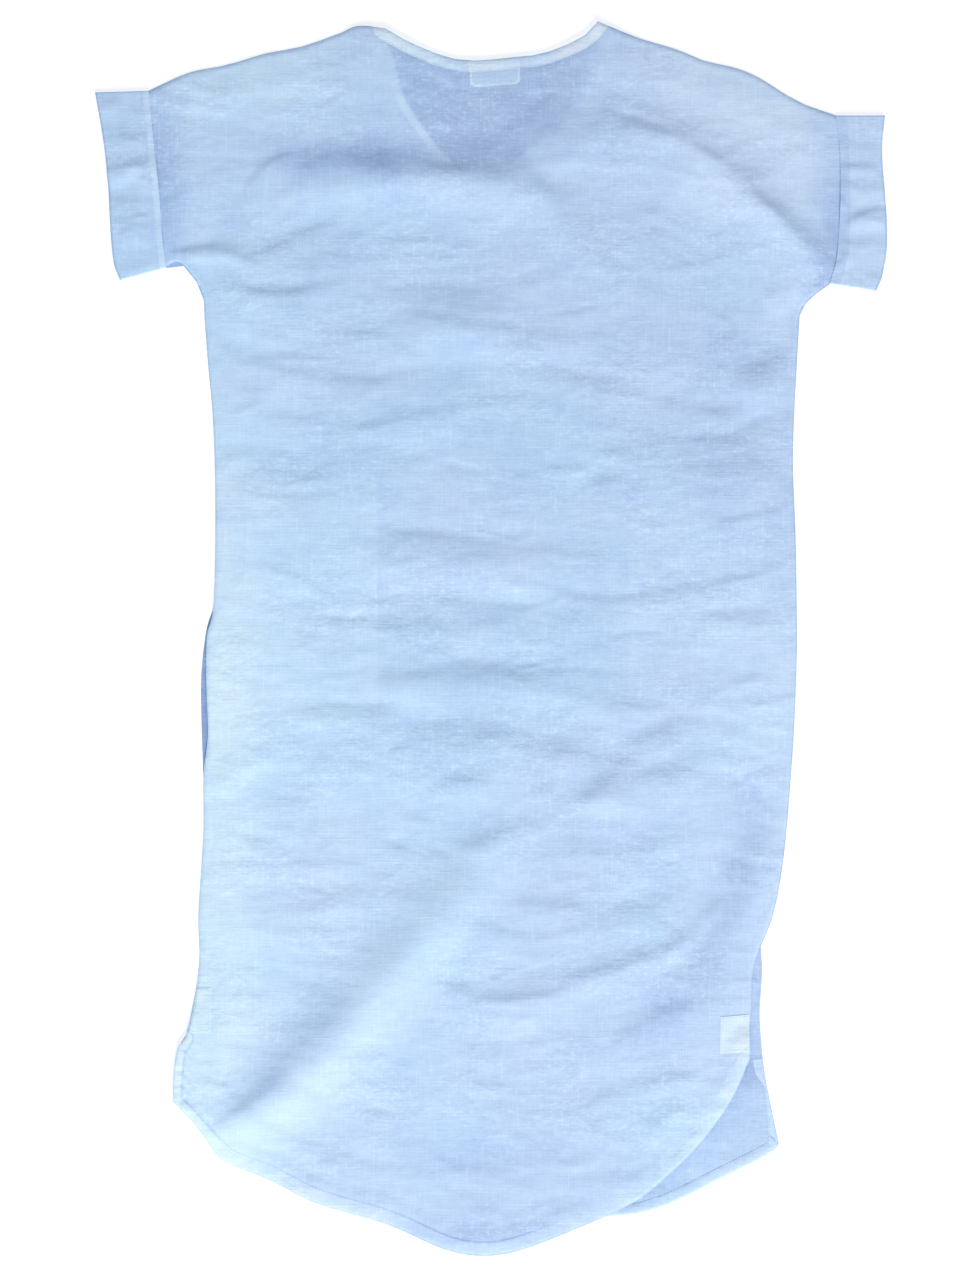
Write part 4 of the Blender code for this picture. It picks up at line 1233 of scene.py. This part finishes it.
def shown_through_back_and_painted_light(n):
    """Lighter and darker places of the back: what lies under it, and painted light and shade."""
    right, up = n.right_and_up(n.place())
    aside = n.math("ABSOLUTE", right)
    in_v, in_label, from_rim = n.kept("in_v"), n.kept("in_label"), n.kept("from_rim")
    neck = n.less(n.kept("from_neck"), 10.2, 11.6)
    past_neck = n.rest(neck)
    on_right = n.step(right, 0.0, 0.06)
    crisp, soft = n.step(in_v, -2.0, 3.0), n.step(in_v, -12.0, 10.0)
    v_open = n.sum_of((crisp, n.rest(on_right)), (soft, on_right))
    v_band = n.times(n.band(in_v, -V_FACING_WIDTH, -0.8, 1.6), n.step(up, 0.446, 0.47))
    at_vent = n.less(right, -0.264, -0.246)
    from_free = n.add(n.kept("from_free_edge"), n.times(at_vent, 4.5))
    high = n.step(up, 0.45, 0.51)
    return n.sum_of(
        # Inside the front's V there is one layer less, and round it the bright facing
        (v_open, n.step(up, 0.424, 0.452), past_neck, -0.17),
        (v_band, n.less(right, -0.03, -0.01), n.less(up, 0.495, 0.525), 0.14),
        (n.less(aside, 0.11, 0.17), n.step(up, 0.43, 0.47), -0.06),
        # The neck facing, brighter at its ends, and the turned hem, with painted shade at its
        # lowest part and a painted shadow along its inner edge on the left
        (neck, 0.12),
        (neck, n.step(aside, 0.02, 0.08), 0.22),
        (n.less(from_free, 10.5, 13.0), 0.14),
        (n.less(up, -0.565, -0.525), -0.16),
        (n.band(from_free, 12.4, 14.0, 0.9), n.less(right, 0.0, 0.1), -0.2),
        # Painted light and shade: lighter top and left side, darker chest fold, right side and
        # bottom
        (high, 0.02),
        (high, n.step(aside, 0.1, 0.18), 0.08),
        (n.step(right, 0.14, 0.22), n.band(up, 0.4, 0.49, 0.03), 0.13),
        (n.band(right, -0.2, -0.07, 0.03), n.band(up, 0.425, 0.465, 0.015), -0.14),
        (n.less(right, -0.2, 0.0), n.less(up, -0.1, 0.15), 0.08),
        (n.less(right, -0.25, -0.2), n.less(up, 0.1, 0.3), 0.12),
        (n.step(right, 0.17, 0.23), n.band(up, 0.05, 0.3, 0.05), -0.09),
        (n.less(up, -0.52, -0.42), -0.09),
        # Painted shade beside the folds, and a painted highlight along the great diagonal fold
        (n.kept("lilac"), -0.2),
        (n.kept("shade"), -0.16),
        (n.kept("smooth"), 0.13),
        # Pocket bags, and the label with its brighter edge
        (n.step(n.kept("in_left_bag"), -1.5, 2), 0.07),
        (n.step(n.kept("in_right_bag"), -2, 4), 0.04),
        (n.step(in_label, -0.6, 0.6), 0.2),
        (n.band(in_label, 0.2, 2.4, 0.6), past_neck, 0.18),
        # Painted shade beside the cuffs, painted light near the sides, painted shade at the very
        # edge
        (n.less(n.kept("from_cuff"), 5, 42), -0.2),
        (n.less(from_rim, 10, 105), 0.07),
        (n.less(from_rim, 0.4, 1.8), -0.22),
    )


# Pieces


def make_back(lie, material):
    """Returns the grid of its upper face, and the heights there."""
    counts = BACK_COUNTS
    widths = (NECK_FACING_WIDTH, HEM_WIDTH, VENT_EDGE_WIDTH, VENT_EDGE_WIDTH)
    grid = panel_grid([lie.neck], lie.hem, (back_left(), back_right()), counts, widths)
    heights = lie.heights(grid.reshape(-1, 2)).reshape(grid.shape[:2])
    obj = cloth_shell("back_cloth", grid, heights, (counts.down, counts.across))
    places = seen_places(obj)
    note(
        obj,
        in_v=depth_in(places, np.vstack([v_line(), lie.neck[::-1][1:-1]])),
        from_neck=distance(places, lie.neck),
        from_free_edge=distance(places, lie.free),
        from_rim=distance(places, *lie.rolled, lie.free),
        from_cuff=distance(places, *lie.cuffs),
        in_left_bag=depth_in(places, lie.bags[0]),
        in_right_bag=depth_in(places, lie.bags[1]),
        in_label=depth_in(places, straight(LABEL)),
        # smooth is where the cloth is smooth and a highlight is painted; shade and lilac mark
        # painted shade
        smooth=HIGHLIT_SMOOTH_MOST * bell(distance(places, straight(HIGHLIT_SMOOTH_RIDGE)), HIGHLIT_SMOOTH_WIDTH),
        shade=bell(distance(places, straight(VENT_SHADE)), VENT_SHADE_WIDTH),
        lilac=LILAC_MOST * bell(distance(places, straight(LILAC_SHADE)), LILAC_WIDTH),
    )
    finish_piece(obj, material, "back_panel", BACK_CUT, BACK_SHARE)
    return grid, heights


def make_back_trims(lie, grid, heights, material):
    """The neck facing and the turned hem. Returns the lines of their stitches."""
    counts, border = BACK_COUNTS, len(RING_SHARES) + 1
    rows, columns = heights.shape
    neck_start = 1 + (counts.shoulder - 1) * counts.across + len(RING_SHARES)
    neck_stop = neck_start + counts.neck * counts.across
    vent_row = int(np.argmax(grid[:, 0, 1] < LEFT_VENT_EDGE[0].y))
    at_neck, at_hem = np.zeros((2, rows - 1, columns - 1), bool)
    at_neck[1:border, neck_start:neck_stop] = True
    at_hem[-border:-1, 1:-1] = True
    at_hem[vent_row:-border, 1:border] = True
    for name, node, wanted, width, line, share in (
        ("neck_facing_cloth", "neck_facing", at_neck, NECK_FACING_WIDTH, lie.neck, STRIP_SHARE),
        ("hem_back_cloth", "hem_back", at_hem, HEM_WIDTH, lie.free, BACK_HEM_SHARE),
    ):
        turned = part_of_grid(name, grid, heights - CLOTH - UNDER_GAP, wanted, FACING_SHEET)
        flat = (width, lengths(line)[-1])
        finish_piece(turned, material, node, flat, share)
    surface = np.dstack([grid, heights + STITCH_RADIUS / 2])
    hem_run = surface[-border, border - 1 : -1]
    vent_run = surface[vent_row:-border, border - 1]
    neck_run = surface[border - 1, neck_start + 1 : neck_stop]
    return [hem_run, vent_run, neck_run]


def front_folds():
    """Low soft creases of the front, which lies under the back."""
    random = np.random.default_rng(FRONT_SEED)
    made = []
    for _ in range(FRONT_CREASES):
        x, y = random.uniform(-300, 300), random.uniform(-540, 480)
        angle = random.normal(0, 0.35)
        half = random.uniform(12, 50) * np.array([np.cos(angle), np.sin(angle)])
        a, b, c = (x, y) - half, np.array([x, y]), (x, y) + half
        made.append(Fold(*a, *b, *c, random.uniform(0.1, 0.3), random.uniform(4, 8), 12))
    return made


def front_hem_parts():
    """The front's free edge in even steps, with wide ones beside its corners."""
    lines = []
    ends = ((0, CORNER_STEP), (CORNER_STEP, CORNER_STEP), (CORNER_STEP, 0))
    for line, (first, last) in zip(front_free_lines(), ends, strict=True):
        lines.append(spaced(line, int(lengths(line)[-1] / STRIP_STEP), first, last))
    return joined(*lines)


def make_front(material):
    width = FRONT_HEM_WIDTH
    bodies = (front_left(), front_right())
    widths = (V_FACING_WIDTH, width, width, width)
    grid = panel_grid(v_halves(), through(FRONT_HEM)[::-1], bodies, FRONT_COUNTS, widths)
    points = grid.reshape(-1, 2)
    edge = [v_line(), through(RIGHT_SHOULDER)[::-1], through(RIGHT_CUFF_SEAM)]
    edge += [through(RIGHT_UNDERARM), bodies[1], through(FRONT_HEM), bodies[0][::-1]]
    edge += [through(line)[::-1] for line in (LEFT_UNDERARM, LEFT_CUFF_SEAM)]
    from_edge = distance(points, np.vstack([*edge, through(LEFT_SHOULDER)]))
    wave = np.minimum(fold_height(points, front_folds()), FRONT_RIPPLE)
    heights = FRONT_TOP + wave * smoothstep((from_edge - FRONT_MARGIN) / FRONT_RAMP)
    heights -= EDGE_DROP * fading(from_edge, DROP_WIDTH)
    obj = cloth_piece("front_cloth", grid, heights.reshape(grid.shape[:2]))
    note(obj, from_apex=np.linalg.norm(seen_places(obj) - np.array(RIGHT_VENT_TOP), axis=1))
    finish_piece(obj, material, "front_panel", FRONT_CUT, FRONT_SHARE)


def make_front_hem(material):
    """A strip along the front's free edge. Returns the line of its stitches."""
    line = front_hem_parts()
    run = lengths(line)
    offsets = np.array(HEM_STRIP_OFFSETS)
    profile = np.interp(offsets, *np.transpose(HEM_STRIP_FORM))
    tops = np.tile(profile, (len(line), 1))
    tops += ripple(run, FRONT_HEM_PUCKERS)[:, None] * smoothstep((offsets - 1) / 5)[None]
    tops = STRIP_START + (tops - STRIP_START) * smoothstep(run / STRIP_TAPER)[:, None]
    on_vent = (line[:, 0] > RIGHT_VENT_TOP.x) & (line[:, 1] > FRONT_HEM[0].y)
    shown = np.interp(line[:, 1], *np.transpose(VENT_STRIP_SHARES))
    offsets = offsets * np.where(on_vent, shown, 1.0)[:, None]
    places = line[:, None] - offsets[:, :, None] * mitred_normals(line)[:, None]
    mitre = straight([FRONT_HEM[0], FRONT_HEM[0]]) + np.array([(0, 0), MITRE_END])
    from_mitre = distance(places.reshape(-1, 2), mitre).reshape(tops.shape)
    tops -= MITRE_GROOVE * bell(from_mitre, MITRE_WIDTH)
    strip = strip_piece("hem_front_cloth", line, offsets, tops)
    where = seen_places(strip)
    note(strip, from_mitre=distance(where, mitre), from_line=distance(where, line))
    flat = (FRONT_HEM_WIDTH, run[-1])
    finish_piece(strip, material, "hem_front", flat)
    seam_height = profile[HEM_STITCH] + STITCH_RADIUS / 2
    return np.column_stack([places[:, HEM_STITCH], seam_height + 0 * run])


def make_v_facing(material):
    line = v_line()
    line = line[line[:, 1] < min(p.y for p in BACK_NECK) - GAP]
    offsets = np.array(V_FACING_OFFSETS)
    middle = V_FACING_WIDTH / 2
    profile = V_FACING_TOP - V_EDGE_DROP * (abs(offsets - middle) / middle) ** 4
    strip = strip_piece("v_facing_cloth", line, offsets, np.tile(profile, (len(line), 1)))
    flat, share = (V_FACING_CUT, lengths(line)[-1]), V_FACING_WIDTH / V_FACING_CUT
    finish_piece(strip, material, "v_facing", flat, share)


def cuff_ripple(share, run):
    """Low waves across a cuff's upper layer, as its solid has them."""
    wave = 0.9 * np.sin(2 * np.pi * (2.6 * run + 0.35 * share)) + 0.5 * np.sin(10.6 * np.pi * run)
    return 0.5 * (1.4 + wave) * np.sin(np.pi * run)


def half_turn(centre, way, middle, radius):
    """Points on half a circle from above the centre, out along the way, to below it."""
    angles = np.linspace(np.pi / 2, -np.pi / 2, CUFF_TURN_POINTS)
    return [(*(centre + way * radius * np.cos(a)), middle + radius * np.sin(a)) for a in angles]


def flat_loop(line, middle, radius, raised):
    """A closed flat loop round the line, at this distance above and below mid height,
    with its upper layer raised by so much."""
    first_way = (line[0] - line[1]) / np.linalg.norm(line[0] - line[1])
    last_way = (line[-1] - line[-2]) / np.linalg.norm(line[-1] - line[-2])
    first_turn = half_turn(line[0] - first_way * middle, first_way, middle, radius)
    last_turn = half_turn(line[-1] - last_way * middle, last_way, middle, radius)
    between = line[1:-1]
    top = [(*p, middle + radius + h) for p, h in zip(between, raised[1:-1], strict=True)]
    bottom = [(*p, middle - radius) for p in between[::-1]]
    return [*top, *last_turn, *bottom, *first_turn[::-1]]


def make_cuff(name, node, seam, edge, outwards, creases, seam_width, material):
    """A flattened tube, doubled: its rings run from the sleeve seam to the hand edge on
    the outside and back to the seam on the inside."""
    middle = CUFF_WALL + CUFF_HOLLOW / 2
    seam_line = spaced(through(seam), CUFF_POINTS) + np.array([-SEAM_LAP * outwards, 0.0])
    edge_line = spaced(through(edge), CUFF_POINTS)
    run = np.linspace(0, 1, CUFF_POINTS + 1)
    width = np.linalg.norm(edge_line - seam_line, axis=1).mean()
    outer = 1 - np.cos(np.linspace(0, np.pi, CUFF_RINGS))
    outer = 0.5 * (0.5 * outer + 0.5 * np.linspace(0, 2, CUFF_RINGS))
    shares = np.concatenate([outer, [1.0], np.linspace(1, 0, CUFF_INNER_RINGS), [0.0]])
    radii = np.repeat(
        [middle, middle - CUFF_SKIN / 2, middle - CUFF_SKIN, middle - CUFF_SKIN / 2],
        [CUFF_RINGS, 1, CUFF_INNER_RINGS, 1],
    )
    from_ends = np.sqrt(np.sin(np.pi * run).clip(0))
    rings = []
    for k, (share, radius) in enumerate(zip(shares, radii, strict=True)):
        line = (1 - share) * seam_line + share * edge_line
        from_hand, from_seam = (1 - share) * width, share * width
        puckers = ripple(edge_line[:, 1], CUFF_EDGE_PUCKERS)
        puckers = np.exp(-from_hand / CUFF_PUCKER_REACH) * puckers
        ridge = SEAM_RIDGE * fading(from_seam - seam_width, SEAM_RIDGE_FADE)
        roll = CUFF_ROLL * fading(from_hand, CUFF_ROLL_WIDTH) ** 2
        raised = CREASE_GAIN * fold_height(line, creases) + puckers + ridge - roll
        raised = np.maximum(cuff_ripple(share, run) + from_ends * raised, CUFF_LOWEST)
        if k in (CUFF_RINGS, len(shares) - 1):
            line = line + np.array([CUFF_EDGE_OUT * outwards * (1 if share else 0), 0.0])
        rings.append(flat_loop(line, middle, radius, raised))
    verts = np.array(rings)
    count, around = verts.shape[:2]
    faces = []
    for r in range(count):
        for k in range(around):
            a, b = r * around + k, r * around + (k + 1) % around
            c, d = (r + 1) % count * around + k, (r + 1) % count * around + (k + 1) % around
            faces.append((a, b, d, c) if outwards > 0 else (a, c, d, b))
    obj = mesh_from(name, verts.reshape(-1, 3), faces)
    from_seam = np.repeat(shares * width / seam_width, around)
    note(obj, from_seam=from_seam, from_hand=np.repeat((1 - shares) * width, around))
    finish_piece(obj, material, node, (width, 2 * lengths(edge_line)[-1]))
    ring = int(np.argmin(abs(outer * width - seam_width)))
    return verts[ring, 2 : CUFF_POINTS - 3] + np.array([0, 0, STITCH_RADIUS / 2])


def make_patch(lie, name, node, corners, material):
    outline = straight(corners)
    top_left, top_right, low_right, low_left = outline
    down = np.linspace(0, 1, PATCH_ROWS + 1)[:, None, None]
    right = np.linspace(0, 1, PATCH_COLUMNS + 1)[None, :, None]
    top = top_left + (top_right - top_left) * right
    low = low_left + (low_right - low_left) * right
    places = (1 - down) * top + down * low
    flat = places.reshape(-1, 2)
    drop = PATCH_DROP * fading(depth_in(flat, outline), DROP_WIDTH)
    heights = lie.heights(flat) + PATCH_LIFT - drop
    obj = cloth_piece(name, places, heights.reshape(places.shape[:2]), FACING_SHEET)
    size = (np.linalg.norm(low_right - low_left), np.linalg.norm(top_left - low_left))
    finish_piece(obj, material, node, size, PATCH_SHARE)
    inwards = outline.mean(axis=0) - outline
    border = outline + PATCH_STITCH_INSET * inwards / abs(inwards)
    border = np.vstack([border, border[:1]])
    border = at(border, np.arange(0, lengths(border)[-1], PATCH_STITCH_STEP))
    return np.column_stack([border, lie.heights(border) + PATCH_LIFT])


def level_grid(top, bottom, left, right, rows, columns, height):
    """A grid between four straight or bent lines, and its heights, all the same."""
    across = [spaced(np.array(line), columns) for line in (top, bottom)]
    down = [spaced(np.array(line), rows) for line in (left, right)]
    grid = blended(*across, *down)
    return grid, np.full(grid.shape[:2], height)


def make_bag(name, node, outline, material):
    """One flat shell for the two layers of a pocket bag."""
    mouth_top, shoulder, corner, far_top, far_low, round_low, low, mouth_low = straight(outline)
    left, right = (corner, shoulder, mouth_top, mouth_low), (far_top, far_low)
    top, bottom = (corner, far_top), (mouth_low, low, round_low, far_low)
    grid, heights = level_grid(top, bottom, left, right, BAG_ROWS, BAG_COLUMNS, BAG_TOP)
    obj = cloth_piece(name, grid, heights, BAG_SHEET)
    finish_piece(obj, material, node, BAG_CUT, BAG_SHARE)


def make_label(material):
    top_left, top_right, low_right, bend_right, bend_left, low_left = straight(LABEL)
    top, bottom = (top_left, top_right), (low_left, bend_left, bend_right, low_right)
    left, right = (top_left, low_left), (top_right, low_right)
    grid, heights = level_grid(top, bottom, left, right, LABEL_CELLS, LABEL_CELLS, LABEL_TOP)
    obj = cloth_piece("label_cloth", grid, heights, FACING_SHEET)
    finish_piece(obj, material, "label", LABEL_CUT, LABEL_SHARE)


lie = Lie()
back_top = make_back(lie, linen("back_linen", LINEN_TONE, shown_through_back_and_painted_light))
runs = make_back_trims(lie, *back_top, linen("turned_linen", TURNED_TONE))
make_front(linen("front_linen", FRONT_TONE, shaded_by_back))
strip_linen = linen("front_hem_linen", STRIP_TONE, painted_shade_on_strip)
runs.append(make_front_hem(strip_linen))
make_v_facing(strip_linen)
cuff_linen = linen("left_cuff_linen", LEFT_CUFF_TONE, shown_on_cuff)
runs.append(
    make_cuff(
        "cuff_left_cloth", "cuff_left", LEFT_CUFF_SEAM, LEFT_CUFF_EDGE, -1, LEFT_CUFF_CREASES,
        LEFT_SEAM_WIDTH, cuff_linen,
    )
)
cuff_linen = linen("right_cuff_linen", RIGHT_CUFF_TONE, shown_on_cuff)
runs.append(
    make_cuff(
        "cuff_right_cloth", "cuff_right", RIGHT_CUFF_SEAM, RIGHT_CUFF_EDGE, 1, RIGHT_CUFF_CREASES,
        RIGHT_SEAM_WIDTH, cuff_linen,
    )
)
patch_linen = linen("patch_linen", PATCH_TONE, lilac=PATCH_LILAC)
bag_linen = linen("bag_linen", LINEN_TONE)
runs.append(make_patch(lie, "patch_left_cloth", "vent_patch_left", LEFT_PATCH, patch_linen))
runs.append(make_patch(lie, "patch_right_cloth", "vent_patch_right", RIGHT_PATCH, patch_linen))
make_bag("bag_left_cloth", "pocket_bag_left", LEFT_BAG, bag_linen)
make_bag("bag_right_cloth", "pocket_bag_right", RIGHT_BAG, bag_linen)
make_label(linen("label_tape", LABEL_TONE))
thread = stitches("stitching", runs)
thread.data.materials.append(linen("thread", THREAD_TONE))
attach(thread, "root")


# Camera, floor and light

PHOTO_SIZE = (960, 1280)
MM_PER_PIXEL = 0.93
PHOTO_ORIGIN = (491, 638.5)  # pixel of the part's origin
CAMERA_HEIGHT = 3.0
DRESS_HEIGHT = 0.005  # where the scale of the photograph holds
SENSOR = 36.0
FLOOR_CORNERS = [(-4, -4, 0), (4, -4, 0), (4, 4, 0), (-4, 4, 0)]
FLOOR_COLOUR = (0.55, 0.55, 0.55, 1)
FLOOR_GLOW = 0.6
KEY_ELEVATION = math.radians(33)
KEY_SIDE = 0.12
KEY_DISTANCE = 6.0
KEY_SIZE = 2.0
KEY_POWER = 330
KEY_COLOUR = (1.0, 0.97, 0.905)
KEY_AIM = Vector((0.05, -0.35, 0))
SKY_COLOUR = (0.83, 0.895, 1.0, 1)
SKY_STRENGTH = 0.615

floor_mesh = bpy.data.meshes.new("floor")
floor_mesh.from_pydata(FLOOR_CORNERS, [], [(0, 1, 2, 3)])
floor = placed("floor", floor_mesh)
ground = Nodes("floor_white")
glow = {"Emission Color": (1, 1, 1, 1), "Emission Strength": FLOOR_GLOW}
ground.fed(ground.shader, 0, {"Base Color": FLOOR_COLOUR, "Roughness": 1.0, **glow})
floor.data.materials.append(ground.material)

camera = placed("camera", bpy.data.cameras.new("camera"))
camera.location = (
    (PHOTO_SIZE[0] / 2 - PHOTO_ORIGIN[0]) * MM_PER_PIXEL * MM,
    (PHOTO_ORIGIN[1] - PHOTO_SIZE[1] / 2) * MM_PER_PIXEL * MM,
    CAMERA_HEIGHT,
)
camera.data.sensor_width = SENSOR
seen_height = PHOTO_SIZE[1] * MM_PER_PIXEL * MM
camera.data.lens = SENSOR * (CAMERA_HEIGHT - DRESS_HEIGHT) / seen_height
bpy.context.scene.camera = camera

key = placed("key", bpy.data.lights.new("key", "AREA"))
key.data.size = KEY_SIZE
key.data.energy = KEY_POWER
key.data.color = KEY_COLOUR
key_way = Vector((KEY_SIDE, -math.cos(KEY_ELEVATION), math.sin(KEY_ELEVATION)))
key.location = KEY_AIM + KEY_DISTANCE * key_way
key.rotation_euler = (KEY_AIM - key.location).to_track_quat("-Z", "Y").to_euler()

world = bpy.data.worlds.new("studio")
world.use_nodes = True
sky = world.node_tree.nodes["Background"]
sky.inputs["Color"].default_value = SKY_COLOUR
sky.inputs["Strength"].default_value = SKY_STRENGTH
bpy.context.scene.world = world
bpy.context.scene.view_settings.view_transform = "Standard"
